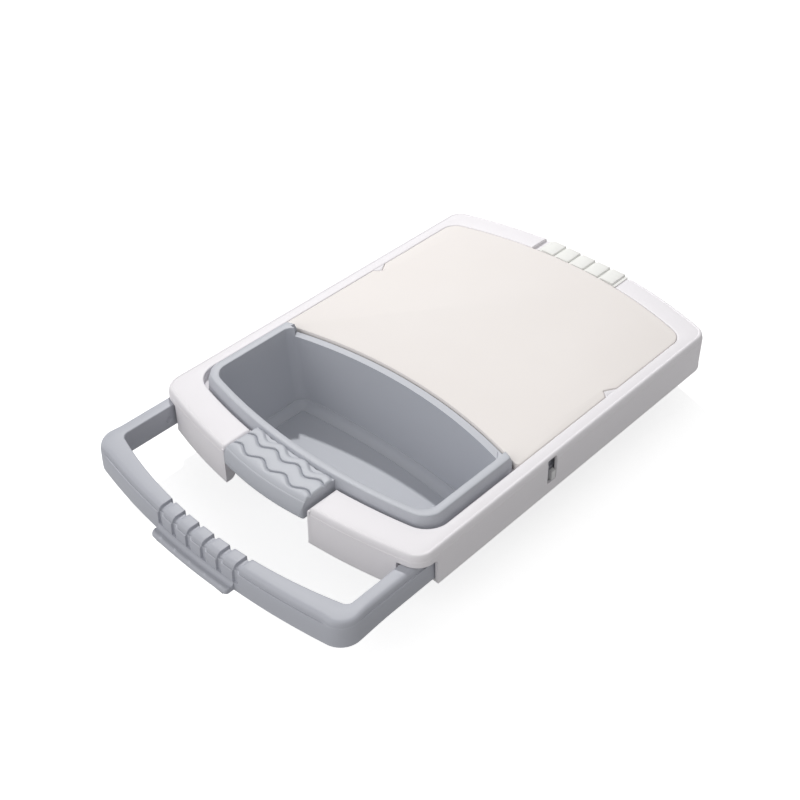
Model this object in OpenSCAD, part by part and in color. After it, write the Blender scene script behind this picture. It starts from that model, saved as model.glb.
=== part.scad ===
// Over-sink cutting board: a skirted frame with a bin, a cutting plate and a sliding handle.
// X is the width, -Y points to the handle and +Z is up. The origin lies under the rear foot,
// where the board rests on the sink's rear edge.

/* [Frame] */
// Width of the frame
frame_w = 250; // [240:1:260]
// Length of the frame along its middle
frame_len = 355; // [350:1:365]
// Radius of the bowed front end
front_bow_r = 430; // [400:10:500]
// Radius of the bowed rear end
rear_bow_r = 360; // [340:10:420]
// Radius of the frame's corners in plan
frame_corner_r = 15; // [13:1:20]
// Height of the rim's top above the sink edge
rim_z = 31; // [30:0.5:34]
// Wall thickness of the frame
wall = 2.2; // [2:0.1:2.5]
// Radius of the rolled edge round the top
rim_edge_r = 2.5; // [2:0.5:3]
// How far the skirt leans in from its foot to the top
skirt_draft = 0.8; // [0.4:0.1:1]
// Thickness of the deck under the plate
deck_t = 2; // [1.6:0.1:2.2]
// Height of the gap under the skirt that the feet leave
skirt_lift = 1; // [0.5:0.1:1.5]

/* [Plate] */
// Width of the frame's rim beside the plate
rim_side_w = 12.2; // [12:0.1:15]
// Thickness of the plate
plate_t = 6; // [5:0.1:6.5]
// Distance from the frame's rear face to the plate
plate_rear_gap = 20.5; // [19:0.5:23]
// Radius of the plate's rear edge
plate_rear_r = 320; // [300:10:360]
// Radius of the plate's rear corners
plate_corner_r = 14; // [12:1:16]
// Distance from the frame's rear face to the middle of the plate's front edge
plate_front_y = 211.9; // [210:0.1:214]
// Width of the chamfer along the plate's edges
plate_chamfer = 0.8; // [0.4:0.1:1]

/* [Bin] */
// Distance from the plate's side to the bin's inner wall
bin_side_in = 11.3; // [11.3:0.1:13.8]
// Distance from the frame's rear face to the bin's rear inner edge
bin_rear_y = 218.5; // [218:0.1:220]
// Distance from the frame's front face to the bin's front inner edge
bin_front_in = 37.5; // [37:0.1:40]
// Width of the rim round the sides and the front
bin_rim_w = 7.8; // [7:0.1:8]
// Width of the low rim at the rear
bin_rear_rim_w = 3.7; // [3.3:0.1:3.8]
// How far the rim stands above the plate
bin_rim_up = 5.5; // [4:0.1:6]
// How far the rear rim lies below the plate's top
bin_rear_drop = 2.5; // [2:0.1:3]
// Depth of the bin from the plate's top to its floor
bin_depth = 60.5; // [50:0.5:64]
// Thickness of the bin's walls
bin_wall = 2; // [1.6:0.1:2]
// How far the side walls lean in down to the foot
bin_side_draft = 10.3; // [8:0.1:12]
// How far the front wall leans in
bin_front_draft = 9.5; // [8:0.1:12]
// How far the rear wall leans in
bin_rear_draft = 10.1; // [8:0.1:12]
// Width of the sloping foot between wall and floor
bin_foot_w = 7.5; // [6:0.1:9]
// Height of that sloping foot
bin_foot_h = 6; // [5:0.1:7]

/* [Grip tab of the bin] */
// Half of the tab's width
tab_half_w = 36; // [34:0.5:37]
// Height of the tab
tab_h = 15; // [12:0.5:16]
// Radius of the tab's front edge
tab_edge_r = 5; // [3:0.5:6]
// Length of one wave in the tab's grooves
wave_len = 21; // [18:0.5:24]
// Half of a wave's height
wave_amp = 2.4; // [1.5:0.1:3]
// Distance between the rows of waves
wave_row = 10.4; // [9:0.1:11]
// Width of a wave groove
wave_w = 1.5; // [1:0.1:2]
// Depth of a wave groove
wave_deep = 1.1; // [0.6:0.1:1.4]

/* [Handle] */
// How far the handle has been drawn out, at rest
handle_out = 44.1; // [42:0.1:50]
// Distance from the frame's side to the handle's arm
handle_side_gap = 4; // [4:0.1:7]
// Width of an arm of the handle
arm_w = 13; // [12:0.1:13.4]
// Height of an arm
arm_h = 18.3; // [17:0.1:18.5]
// Radius of the handle's outer corners
handle_corner_r = 16; // [14:1:20]
// Radius of the bar's outer face
bar_outer_r = 370; // [350:10:400]
// Radius of the bar's inner face
bar_inner_r = 325; // [300:5:350]
// Depth of the bar in its middle
bar_w = 13.4; // [12:0.1:14]
// How far an arm reaches into the frame behind its front end
arm_inside = 196; // [180:1:200]
// Travel of the handle to each side of its rest
slide_travel = 37.5; // [34:0.5:38]
// Wall thickness of the hollow handle
handle_wall = 2.4; // [2:0.1:2.6]
// Distance that the lip stands out of the bar
lip_out = 7.5; // [6:0.1:9]
// Half of the lip's length
lip_half_w = 38; // [37:0.5:42]
// Thickness of the lip
lip_t = 3; // [2.5:0.1:4]

/* [Ribbed grips] */
// Number of blocks in a grip
grip_blocks = 5; // [3:1:5]
// Distance from one block to the next
grip_pitch = 14.6; // [13:0.1:15]
// Width of the groove between two blocks
groove_w = 2.4; // [1.8:0.1:3]
// Depth of a groove
groove_deep = 2; // [1:0.1:2.2]
// Half of the rear grip seat's width
seat_half_w = 42; // [40:0.5:44]
// Depth of the rear grip seat
seat_deep = 3; // [2.4:0.1:3.4]

/* [Details] */
// Half of the gap in the frame's front end
front_gap_half_w = 40.4; // [39:0.1:42]
// Depth of the cheeks beside that gap
cheek_deep = 8.5; // [7:0.5:10]
// Distance from the frame's front end to the end of a corner notch
notch_len = 33; // [31:0.5:36]
// Distance of a side window from the frame's rear face
window_y = 206.7; // [200:0.1:210]
// Width of a side window
window_w = 9.4; // [8:0.1:11]
// Height of a side window
window_h = 20; // [18:0.5:21]
// Distance of a tooth's tip from the frame's rear face
tooth_y = 129.4; // [120:0.1:140]
// Height of a tooth over the plate's edge
tooth_out = 5; // [4:0.1:6]
// Length of a tooth
tooth_len = 14; // [12:0.5:16]

/* [Rails and fasteners] */
// Length of a guide rail
rail_len = 224; // [220:1:230]
// Thickness of a rail's shelf
shelf_t = 2; // [1.8:0.1:2]
// Radius of a stop pin
stop_pin_r = 2.2; // [2:0.1:2.4]
// Radius of a screw's shank
screw_r = 1.45; // [1.3:0.05:1.6]
// Length of a screw's shank
screw_len = 9; // [8:0.5:10]
// Radius of a screw's head
screw_head_r = 2.8; // [2.5:0.1:3]
// Thickness of a detent spring
spring_t = 0.4; // [0.3:0.05:0.5]
// Length of a detent spring
spring_len = 28; // [26:1:29]
// Radius of a rivet
rivet_r = 1.2; // [1:0.1:1.3]

/* [Clearances] */
// Gap between pieces that lift or slide
play = 0.3; // [0.2:0.05:0.4]
// Gap round a fixed fastener
fit = 0.05; // [0.03:0.01:0.1]

/* [Hidden] */

$fn = 48;
// Steps along a bowed end, round a corner and round a small edge
bow_steps = 20;
corner_steps = 8;
edge_steps = 4;
// How far a cutter runs past a face, and how far joined shapes run into each other
past = 1;
bite = 0.5;
half_w = frame_w / 2;
bin_front_y = frame_len - bin_front_in;
plate_half_w = half_w - rim_side_w;
bin_half_w = plate_half_w - bin_side_in;
handle_half_w = half_w - handle_side_gap;

// Outlines in plan: [half width, front y, front radius, rear y, rear radius, front corner, rear corner]
frame_spec = [half_w, -frame_len, front_bow_r, 0, rear_bow_r, frame_corner_r, frame_corner_r];

// The recess that holds the plate and the bin's rim
recess_gap = 2.8;
recess_corner_r = 19;
bin_well_gap = 0.8;
side_lap = 0.3;
front_lap = 0.5;
recess_half_w = plate_half_w + play;
bin_rim_front_y = -bin_front_y - bin_rim_w + front_lap;
recess_spec = [recess_half_w, bin_rim_front_y - recess_gap, front_bow_r + bin_rim_w, -plate_rear_gap + play,
               plate_rear_r + play, recess_corner_r, plate_corner_r + play];
floor_z = rim_z - plate_t - play;
deck_z = floor_z - deck_t;

// The plate, whose blank runs on past its hollow front edge
plate_front_r = 360;
blank_run = 60;
blank_r = 500;
blank_corner_r = 5;
plate_spec = [plate_half_w, -plate_front_y - blank_run, blank_r, -plate_rear_gap, plate_rear_r,
              blank_corner_r, plate_corner_r];
plate_z = floor_z + play;

// The bin inside its walls at the rim and at the foot, and outside its rim
rim_front_r = 430;
rim_rear_r = 355;
rim_front_corner_r = 12;
rim_rear_corner_r = 9;
foot_bow_r = 600;
foot_front_corner_r = 11;
foot_rear_corner_r = 10;
lap_front_corner_r = 17;
lap_rear_corner_r = 5;
rim_in = [bin_half_w, -bin_front_y, rim_front_r, -bin_rear_y, rim_rear_r, rim_front_corner_r, rim_rear_corner_r];
foot_in = [bin_half_w - bin_side_draft, -bin_front_y + bin_front_draft, foot_bow_r,
           -bin_rear_y - bin_rear_draft, foot_bow_r, foot_front_corner_r, foot_rear_corner_r];
rim_out = [bin_half_w + bin_rim_w + side_lap, bin_rim_front_y, rim_front_r + bin_rim_w - front_lap,
           -bin_rear_y + bin_rear_rim_w, rim_rear_r + bin_rear_rim_w, lap_front_corner_r, lap_rear_corner_r];
bin_top_z = rim_z + bin_rim_up;
bin_rear_z = rim_z - bin_rear_drop;
bin_floor_z = rim_z - bin_depth;
foot_z = bin_floor_z + bin_foot_h;
flange_z = floor_z + play;
rim_t = 3;
rim_skin = 2;
rim_round = 1.5;
rim_draft = 0.4;
ear_run = 14;

// The tab follows the front end's bow
tab_set_in = 0.9;
tab_more_r = 3;
tab_drop = 1;
tab_root_in = 3;
tab_wall = 2.2;
wave_in = 16;
tab_front_y = -frame_len + tab_set_in;
tab_r = front_bow_r + tab_more_r;
tab_top_z = bin_top_z - tab_drop;
tab_bottom_z = tab_top_z - tab_h;
tab_root_y = bin_rim_front_y + tab_root_in;
first_wave_y = tab_front_y + wave_in;
wave_steps = 48;

// The handle
arm_z = shelf_t + skirt_lift + play;
arm_top_z = arm_z + arm_h;
bar_inner_y = -frame_len - handle_out;
bar_outer_y = bar_inner_y - bar_w;
arm_end_y = -frame_len + arm_inside;
arm_in_x = handle_half_w - arm_w;
arm_mid_x = handle_half_w - arm_w / 2;
bar_inner_corner_r = 4.5;
blank_rear_corner_r = 6;
arm_blank_run = 80;
handle_out_spec = [handle_half_w, bar_outer_y, bar_outer_r, arm_end_y + arm_blank_run, bar_outer_r,
                   handle_corner_r, blank_rear_corner_r];
handle_in_spec = [arm_in_x, bar_inner_y, bar_inner_r, arm_end_y + arm_blank_run, bar_inner_r,
                  bar_inner_corner_r, blank_rear_corner_r];
handle_edge = 1.2;
handle_inner_edge = 3.2;
lip_y = bar_outer_y - lip_out;
grip_half_w = grip_blocks * grip_pitch / 2;
groove_foot = 2;
groove_run = 5;
// Behind the lip the bar is solid
solid_half_w = 42;
solid_run = 6;
arm_rib_pitch = 20;
arm_rib_t = 1.6;
arm_rib_start = 18;
arm_rib_end = 30;
rib_set_in = 1;
bar_rib_x = 60;
bar_rib_pitch = 20;

// The lips under the handle and under the rear grip
lip_corner_r = 6;
lip_inner_corner_r = 3;
lip_edge_r = 1;
lip_run = 2;
lip_spec = [lip_half_w, lip_y, bar_outer_r + lip_out, bar_inner_y - lip_run, bar_inner_r, lip_corner_r,
            lip_inner_corner_r];
rear_lip_in = 14;
rear_lip_r = 400;
rear_lip_z = arm_z;
rear_lip_spec = [lip_half_w, -rear_lip_in, rear_lip_r, lip_out, rear_bow_r, lip_inner_corner_r, lip_corner_r];

// Detents: one spring bump and three dimples, one travel apart
bump_in = 46.5;
bump_y = -frame_len + bump_in;
detent_z = 11;
dimple_r = 3.2;
dimple_deep = 1.2;
bump_r = 2.3;
bump_gap = 0.15;
bump_flat_r = 0.4;

// Stops: a pin in each arm runs in a slot of the rail's shelf
stop_in = 25;
stop_y = arm_end_y - stop_in;
stop_slot = slide_travel + stop_pin_r + play;
stop_pin_h = 14;
stop_boss_r = 4;
pin_gap = 0.2;

// The rear grip on its seat
stud_x = 25;
stud_in = 10;
stud_r = 2;
seat_lip = 3.5;
seat_run = 3;
grip_base_t = 0.9;
grip_sink = 0.6;
grip_set_in = 1.5;
grip_margin = 1.5;
grip_round_r = 1.2;

// The front gap's cheeks and webs
cheek_set_in = 1;
gap_rise = pow(front_gap_half_w, 2) / (2 * front_bow_r);
gap_web_in = 6;
gap_web_run = 3;
gap_run = 11;
ledge_gap = 1.5;

// Ribs under the deck
deck_rib_t = 1.6;
deck_rib_h = 8;
deck_rib_dx = 60;
deck_rib_dy = 45;
deck_rib_rear_y = 60;
deck_rib_half_w = 90;
deck_rib_in = 6;

// Guide rails
slide_gap = 0.4;
shelf_in = 2;
rail_set_in = 21;
shelf_front_y = -frame_len + notch_len + shelf_in;
rail_front_y = -frame_len + rail_set_in;
rail_in_x = arm_in_x - slide_gap;
rail_wall_t = 2.2;
rail_bore_r = bump_r + slide_gap;
rail_far_x = half_w - wall - slide_gap;
rail_wall_x = rail_in_x - rail_wall_t;
flange_t = 2.5;
flange_top_z = 14.5;
flange_w = 10;
flange_reach = 5;
boss_r = 4;
screw_reach = 7.9;
front_screw_reach = 11.4;
screw_x = rail_wall_x - screw_reach;
front_screw_x = rail_wall_x - front_screw_reach;
front_screw_in = 27;
second_screw_in = 144;
third_screw_in = 204;
second_screw_y = rail_front_y + second_screw_in;
third_screw_y = rail_front_y + third_screw_in;
front_screw = [front_screw_x, -frame_len + front_screw_in];
screw_spots = [front_screw, [screw_x, second_screw_y], [screw_x, third_screw_y]];
peg_wall_t = 1;
peg_w = 4;
peg_h = 7.5;
peg_set_in = 0.6;

// Springs, rivets and screws
spring_half_h = 4;
rivet_in = 4;
rivet_head_t = 0.6;
screw_head_t = 1.8;
cross_half = 1.6;
cross_w = 0.7;
cross_deep = 0.9;

// Feet
foot_half_w = 33;
foot_deep = 13;
foot_sink = 1.2;
foot_set_in = 3;
foot_margin = 2;

// Windows, notches and teeth
window_down = 2;
window_z = rim_z - window_down;
window_run = 6;
notch_gap = 1;
notch_z = arm_top_z + notch_gap;
notch_in_x = arm_in_x - notch_gap;
tooth_share = 0.35;

// Points on an arc about c, without its last point
function arc(c, r, a0, a1, n) =
    [for (i = [0:n - 1]) c + r * [cos(a0 + (a1 - a0) * i / n), sin(a0 + (a1 - a0) * i / n)]];

// A plan outline with bowed ends and round corners, drawn d inside its spec
function bowed(s, d = 0) =
    let (front_a = asin((s[0] - s[5]) / (s[2] - s[5])),
         rear_a = asin((s[0] - s[6]) / (s[4] - s[6])),
         front_c = [0, s[1] + s[2]],
         rear_c = [0, s[3] - s[4]],
         front_x = s[0] - s[5],
         rear_x = s[0] - s[6],
         front_y = front_c[1] - (s[2] - s[5]) * cos(front_a),
         rear_y = rear_c[1] + (s[4] - s[6]) * cos(rear_a))
    concat(arc(front_c, s[2] - d, -90 - front_a, -90 + front_a, bow_steps),
           arc([front_x, front_y], s[5] - d, -90 + front_a, 0, corner_steps),
           arc([rear_x, rear_y], s[6] - d, 0, 90 - rear_a, corner_steps),
           arc(rear_c, s[4] - d, 90 - rear_a, 90 + rear_a, bow_steps),
           arc([-rear_x, rear_y], s[6] - d, 90 + rear_a, 180, corner_steps),
           arc([-front_x, front_y], s[5] - d, 180, 270 - front_a, corner_steps));

// A solid through rings of [outline, height], which all have the same number of points
module loft(rings) {
    n = len(rings[0][0]);
    m = len(rings);
    points = [for (ring = rings) for (p = ring[0]) [p[0], p[1], ring[1]]];
    sides = [for (j = [0:m - 2]) for (i = [0:n - 1])
             [j * n + i, (j + 1) * n + i, (j + 1) * n + (i + 1) % n, j * n + (i + 1) % n]];
    polyhedron(points, concat([[for (i = [0:n - 1]) i]], sides,
                              [[for (i = [n - 1:-1:0]) (m - 1) * n + i]]), convexity = 10);
}

// Rings that round a top edge of radius r, starting d0 inside the outline s
function round_top(s, d0, top, r) =
    [for (k = [0:edge_steps]) let (a = 90 * k / edge_steps)
     [bowed(s, d0 + r * (1 - cos(a))), top - r * (1 - sin(a))]];

// Rings that round a bottom edge
function round_bottom(s, bottom, r) =
    [for (k = [edge_steps:-1:0]) let (a = 90 * k / edge_steps)
     [bowed(s, r * (1 - cos(a))), bottom + r * (1 - sin(a))]];

module prism(outline, z0, z1) {
    translate([0, 0, z0]) linear_extrude(z1 - z0) polygon(outline);
}

// A box between two corners
module block(low, high) {
    translate(low) cube(high - low);
}

module both_sides() {
    children();
    mirror([1, 0, 0]) children();
}

// A profile in y and z, drawn across from -half to half
module across(half, profile) {
    translate([-half, 0, 0]) rotate([90, 0, 90]) linear_extrude(2 * half) polygon(profile);
}

module frame_shell() {
    difference() {
        loft(concat([[bowed(frame_spec), skirt_lift], [bowed(frame_spec, skirt_draft / 2), skirt_lift + wall]],
                    round_top(frame_spec, skirt_draft, rim_z, rim_edge_r)));
        prism(bowed(frame_spec, wall), skirt_lift - past, deck_z);
        difference() {
            prism(bowed(frame_spec, wall + skirt_draft), deck_z - past, rim_z - wall);
            prism(bowed(recess_spec, -wall), deck_z - 2 * past, rim_z);
        }
        prism(bowed(recess_spec), floor_z, rim_z + past);
        prism(bowed(rim_in, -bin_wall - bin_well_gap), deck_z - past, floor_z + past);
    }
}

module deck_ribs() {
    for (x = [-deck_rib_dx, 0, deck_rib_dx])
        block([x - deck_rib_t / 2, -plate_front_y + deck_rib_in, deck_z - deck_rib_h],
              [x + deck_rib_t / 2, -plate_rear_gap, deck_z]);
    for (i = [0:3])
        let (y = -deck_rib_rear_y - i * deck_rib_dy)
            block([-deck_rib_half_w, y - deck_rib_t / 2, deck_z - deck_rib_h],
                  [deck_rib_half_w, y + deck_rib_t / 2, deck_z]);
}

module tooth() {
    tip_x = recess_half_w - tooth_out;
    prism([[recess_half_w + bite, -tooth_y - tooth_len * tooth_share], [tip_x, -tooth_y],
           [recess_half_w + bite, -tooth_y + tooth_len * (1 - tooth_share)]], floor_z, rim_z);
}

module frame() {
    color("white") both_sides()
        block([tab_half_w + ledge_gap, -frame_len + gap_web_in, deck_z],
              [front_gap_half_w + wall / 2, recess_spec[1] + gap_web_run, floor_z]);
    color("white") difference() {
        union() {
            frame_shell();
            deck_ribs();
            // Cheeks that close the rim beside the front gap
            intersection() {
                prism(bowed(frame_spec, cheek_set_in), skirt_lift, deck_z + past);
                both_sides() block([front_gap_half_w, -frame_len, skirt_lift],
                                   [front_gap_half_w + wall, -frame_len + gap_rise + cheek_deep, rim_z]);
            }
            both_sides() block([front_gap_half_w, -frame_len + gap_web_in, deck_z],
                               [front_gap_half_w + wall, recess_spec[1] + gap_web_run, rim_z - wall]);
            // Seat of the rear grip
            block([-seat_half_w - wall, recess_spec[3] + bite, rim_z - seat_deep - wall],
                  [seat_half_w + wall, -seat_lip, rim_z - wall + bite]);
            // Lip that rests on the sink's rear edge
            prism(bowed(rear_lip_spec), rear_lip_z, rear_lip_z + lip_t);
            both_sides() for (spot = screw_spots)
                translate([spot[0], spot[1], flange_top_z])
                    cylinder(r = boss_r, h = (spot == front_screw ? rim_z - wall : deck_z) - flange_top_z + bite);
            both_sides() tooth();
        }
        // Gap for the bin's tab
        block([-front_gap_half_w, -frame_len - past, -past],
              [front_gap_half_w, recess_spec[1] + gap_run, rim_z + past]);
        // Notches for the handle's arms
        both_sides() block([notch_in_x, -frame_len - past, -past],
                           [half_w + past, -frame_len + notch_len, notch_z]);
        // Windows for the rails' pegs
        both_sides() block([half_w - window_run, -window_y - window_w / 2, window_z - window_h],
                           [half_w + past, -window_y + window_w / 2, window_z]);
        // Recess for the rear grip
        block([-seat_half_w, recess_spec[3] - seat_run, rim_z - seat_deep], [seat_half_w, past, rim_z + past]);
        for (x = [-stud_x, stud_x])
            translate([x, -stud_in, rim_z - seat_deep - wall - past]) cylinder(r = stud_r, h = wall + 2 * past);
        // The rear foot takes the place of the skirt's edge
        block([-lip_half_w + foot_margin, -wall - past, 0], [lip_half_w - foot_margin, past, rear_lip_z]);
        block([-foot_half_w - play / 2, -foot_deep / 2 - play / 2, 0],
              [foot_half_w + play / 2, foot_deep / 2 + play / 2, rear_lip_z + foot_sink]);
        both_sides() for (spot = screw_spots)
            translate([spot[0], spot[1], flange_top_z - past])
                cylinder(r = screw_r + fit, h = screw_len - flange_t + bite + past);
    }
}

module cutting_plate() {
    color("ivory") difference() {
        loft(concat([[bowed(plate_spec, plate_chamfer), plate_z], [bowed(plate_spec), plate_z + plate_chamfer]],
                    [[bowed(plate_spec), plate_z + plate_t - plate_chamfer],
                     [bowed(plate_spec, plate_chamfer), plate_z + plate_t]]));
        translate([0, -plate_front_y - plate_front_r, plate_z - past])
            cylinder(r = plate_front_r, h = plate_t + 2 * past, $fn = 360);
        both_sides() prism([[recess_half_w + past, -tooth_y - tooth_len * tooth_share - play - past],
                            [recess_half_w - tooth_out - play, -tooth_y - play],
                            [recess_half_w - tooth_out - play, -tooth_y + play],
                            [recess_half_w + past, -tooth_y + tooth_len * (1 - tooth_share) + play + past]],
                           plate_z - past, plate_z + plate_t + past);
    }
}

module bin_outer() {
    loft([[bowed(foot_in, bin_foot_w - bin_wall / 2), bin_floor_z - bin_wall],
          [bowed(foot_in, -bin_wall), foot_z - bin_wall / 2],
          [bowed(rim_in, -bin_wall), flange_z],
          [bowed(rim_in, -bin_wall), bin_top_z - rim_t / 2]]);
}

module bin_inner() {
    loft([[bowed(foot_in, bin_foot_w), bin_floor_z],
          [bowed(foot_in), foot_z],
          [bowed(rim_in), flange_z],
          [bowed(rim_in), bin_top_z + past]]);
}

module bin_rim() {
    difference() {
        loft(concat([[bowed(rim_out), flange_z]], round_top(rim_out, rim_draft, bin_top_z, rim_round)));
        difference() {
            prism(bowed(rim_out, rim_skin), flange_z - past, bin_top_z - rim_t);
            prism(bowed(rim_in, -bin_wall + bite), flange_z - 2 * past, bin_top_z);
            // Behind the bin the rim is low and solid
            block([-half_w, -bin_rear_y - ear_run, flange_z - 2 * past], [half_w, 0, bin_top_z]);
        }
    }
}

function wave(y0, side) = [for (i = [0:wave_steps]) let (x = (tab_half_w + past) * (2 * i / wave_steps - 1))
                           [x, y0 + wave_amp * sin(360 * x / wave_len) + x * x / (2 * tab_r) + side]];

module wave_groove(y0) {
    up = wave(y0, wave_w / 2);
    prism(concat(wave(y0, -wave_w / 2), [for (i = [wave_steps:-1:0]) up[i]]),
          tab_top_z - wave_deep, tab_top_z + past);
}

// The tab is turned about the centre of the front end's bow; run is how far a cutter passes its ends
module tab_turned(inset, run) {
    spread = asin((tab_half_w - inset) / tab_r);
    out = tab_r - inset;
    top = tab_top_z - inset;
    root = tab_front_y + tab_r - tab_root_y - run;
    profile = concat([[root, tab_bottom_z - run], [out, tab_bottom_z - run]],
                     arc([out - tab_edge_r, top - tab_edge_r], tab_edge_r, 0, 90, edge_steps + 2),
                     [[out - tab_edge_r, top], [root, top]]);
    translate([0, tab_front_y + tab_r, 0]) rotate([0, 0, -90 - spread])
        rotate_extrude(angle = 2 * spread, $fn = 360) polygon(profile);
}

module bin_tab() {
    difference() {
        tab_turned(0, 0);
        tab_turned(tab_wall, past);
        wave_groove(first_wave_y);
        wave_groove(first_wave_y + wave_row);
    }
}

module bin() {
    color("darkgray") difference() {
        union() {
            bin_outer();
            bin_rim();
            bin_tab();
        }
        bin_inner();
        // The rear wall stays low between the two ears
        block([-bin_half_w, -bin_rear_y - ear_run, bin_rear_z],
              [bin_half_w, -plate_front_y + past, bin_top_z + past]);
    }
}

module handle_ring(inset) {
    difference() {
        if (inset == 0) {
            loft(concat(round_bottom(handle_out_spec, arm_z, handle_edge / 2),
                        round_top(handle_out_spec, 0, arm_top_z, handle_edge)));
        } else {
            prism(bowed(handle_out_spec, inset), arm_z - past, arm_top_z - handle_wall);
        }
        if (inset == 0) {
            loft([[bowed(handle_in_spec), arm_z - past], [bowed(handle_in_spec), arm_top_z - handle_inner_edge],
                  [bowed(handle_in_spec, -handle_inner_edge / 3), arm_top_z - handle_inner_edge / 3],
                  [bowed(handle_in_spec, -handle_inner_edge), arm_top_z],
                  [bowed(handle_in_spec, -handle_inner_edge), arm_top_z + past]]);
        } else {
            prism(bowed(handle_in_spec, -inset), arm_z - 2 * past, arm_top_z);
        }
        block([-half_w, arm_end_y - inset, arm_z - 2 * past], [half_w, 0, arm_top_z + 2 * past]);
    }
}

module handle_ribs() {
    arm_ribs = floor((arm_end_y - bar_inner_y - arm_rib_end) / arm_rib_pitch);
    rib_z = arm_z + rib_set_in;
    rib_top_z = arm_top_z - rib_set_in;
    for (i = [0:arm_ribs]) {
        y = bar_inner_y + arm_rib_start + i * arm_rib_pitch;
        both_sides() block([arm_in_x + rib_set_in, y - arm_rib_t / 2, rib_z],
                           [handle_half_w - rib_set_in, y + arm_rib_t / 2, rib_top_z]);
    }
    both_sides() for (x = [bar_rib_x, bar_rib_x + bar_rib_pitch])
        block([x - arm_rib_t / 2, bar_outer_y + handle_wall / 2, rib_z],
              [x + arm_rib_t / 2, bar_inner_y + bar_w, rib_top_z]);
}

module grip_grooves() {
    for (i = [0:grip_blocks]) {
        x = -grip_half_w + i * grip_pitch;
        difference() {
            block([x - groove_w / 2, bar_outer_y - past, arm_z + lip_t + groove_foot],
                  [x + groove_w / 2, bar_inner_y + groove_run, arm_top_z + past]);
            intersection() {
                translate([0, bar_outer_y + bar_outer_r, 0])
                    cylinder(r = bar_outer_r - groove_deep, h = arm_top_z - groove_deep, $fn = 360);
                difference() {
                    block([-half_w, bar_outer_y, 0], [half_w, bar_inner_y + groove_run, arm_top_z]);
                    translate([0, bar_inner_y + bar_inner_r, -past])
                        cylinder(r = bar_inner_r + groove_deep / 2, h = rim_z + past, $fn = 360);
                }
            }
        }
    }
}

module handle() {
    color("darkgray") difference() {
        union() {
            difference() {
                handle_ring(0);
                difference() {
                    handle_ring(handle_wall);
                    block([-solid_half_w, bar_outer_y, 0], [solid_half_w, bar_inner_y + solid_run, rim_z]);
                }
            }
            intersection() {
                handle_ring(0);
                handle_ribs();
            }
            both_sides() translate([arm_mid_x, stop_y, arm_z]) cylinder(r = stop_boss_r, h = arm_h - rib_set_in);
            loft(concat([[bowed(lip_spec), arm_z]], round_top(lip_spec, 0, arm_z + lip_t, lip_edge_r)));
        }
        grip_grooves();
        both_sides() for (i = [-1:1])
            translate([arm_in_x - dimple_r + dimple_deep, bump_y + i * slide_travel, detent_z]) sphere(r = dimple_r);
        both_sides() translate([arm_mid_x, stop_y, arm_z - past])
            cylinder(r = stop_pin_r + fit, h = stop_pin_h + past);
        block([-foot_half_w - play / 2, lip_y + foot_set_in - play / 2, 0],
              [foot_half_w + play / 2, lip_y + foot_set_in + foot_deep + play / 2, arm_z + foot_sink]);
    }
}

module rear_grip() {
    seat_z = rim_z - seat_deep;
    base_z = seat_z + grip_base_t;
    top_z = rim_z - grip_sink;
    y0 = recess_spec[3] + play;
    y1 = -grip_set_in;
    color("whitesmoke") {
        block([-grip_half_w - grip_margin, y0, seat_z], [grip_half_w + grip_margin, y1 - past, base_z]);
        for (i = [0:grip_blocks - 1])
            translate([-grip_half_w + (i + 0.5) * grip_pitch, 0, 0])
                across((grip_pitch - groove_w) / 2,
                       concat([[y0 + bite, base_z - bite], [y1 - 2 * past, base_z - bite], [y1, base_z]],
                              arc([y1 - grip_round_r, top_z - grip_round_r], grip_round_r, 0, 90, edge_steps + 1),
                              [[y1 - grip_round_r, top_z], [y0 + bite, top_z]]));
        for (x = [-stud_x, stud_x])
            translate([x, -stud_in, seat_z - wall]) cylinder(r = stud_r - fit, h = wall + grip_base_t / 2);
    }
}

module rail_body() {
    rear_y = rail_front_y + rail_len;
    peg_x = handle_half_w + slide_gap;
    peg_z = window_z - window_h + bite;
    difference() {
        union() {
            block([rail_wall_x, shelf_front_y, skirt_lift], [rail_far_x, rear_y, skirt_lift + shelf_t]);
            block([rail_wall_x, rail_front_y, skirt_lift], [rail_in_x, rear_y, deck_z - play]);
            for (spot = screw_spots)
                block([spot[0] - flange_reach, spot[1] - flange_w / 2, flange_top_z - flange_t],
                      [rail_in_x - rail_wall_t / 2, spot[1] + flange_w / 2, flange_top_z]);
            // Peg that snaps into the skirt's window
            block([peg_x, -window_y, skirt_lift], [peg_x + peg_wall_t, -window_y + peg_w, peg_z + peg_h]);
            block([peg_x, -window_y, peg_z], [half_w - peg_set_in, -window_y + peg_w, peg_z + peg_h]);
        }
        // Slot of the stop pin
        block([arm_mid_x - stop_pin_r - play, stop_y - stop_slot, 0],
              [arm_mid_x + stop_pin_r + play, stop_y + stop_slot, skirt_lift + shelf_t + past]);
        for (spot = screw_spots)
            translate([spot[0], spot[1], 0]) cylinder(r = screw_r + fit, h = rim_z);
        translate([rail_wall_x - past, bump_y, detent_z]) rotate([0, 90, 0])
            cylinder(r = rail_bore_r, h = rail_wall_t + 2 * past);
        for (side = [-1, 1])
            translate([rail_wall_x - past, bump_y + side * (spring_len / 2 - rivet_in), detent_z]) rotate([0, 90, 0])
                cylinder(r = rivet_r + fit, h = rail_wall_t + 2 * past);
    }
}

module left_rail() {
    color("white") mirror([1, 0, 0]) rail_body();
}

module right_rail() {
    color("white") rail_body();
}

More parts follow.
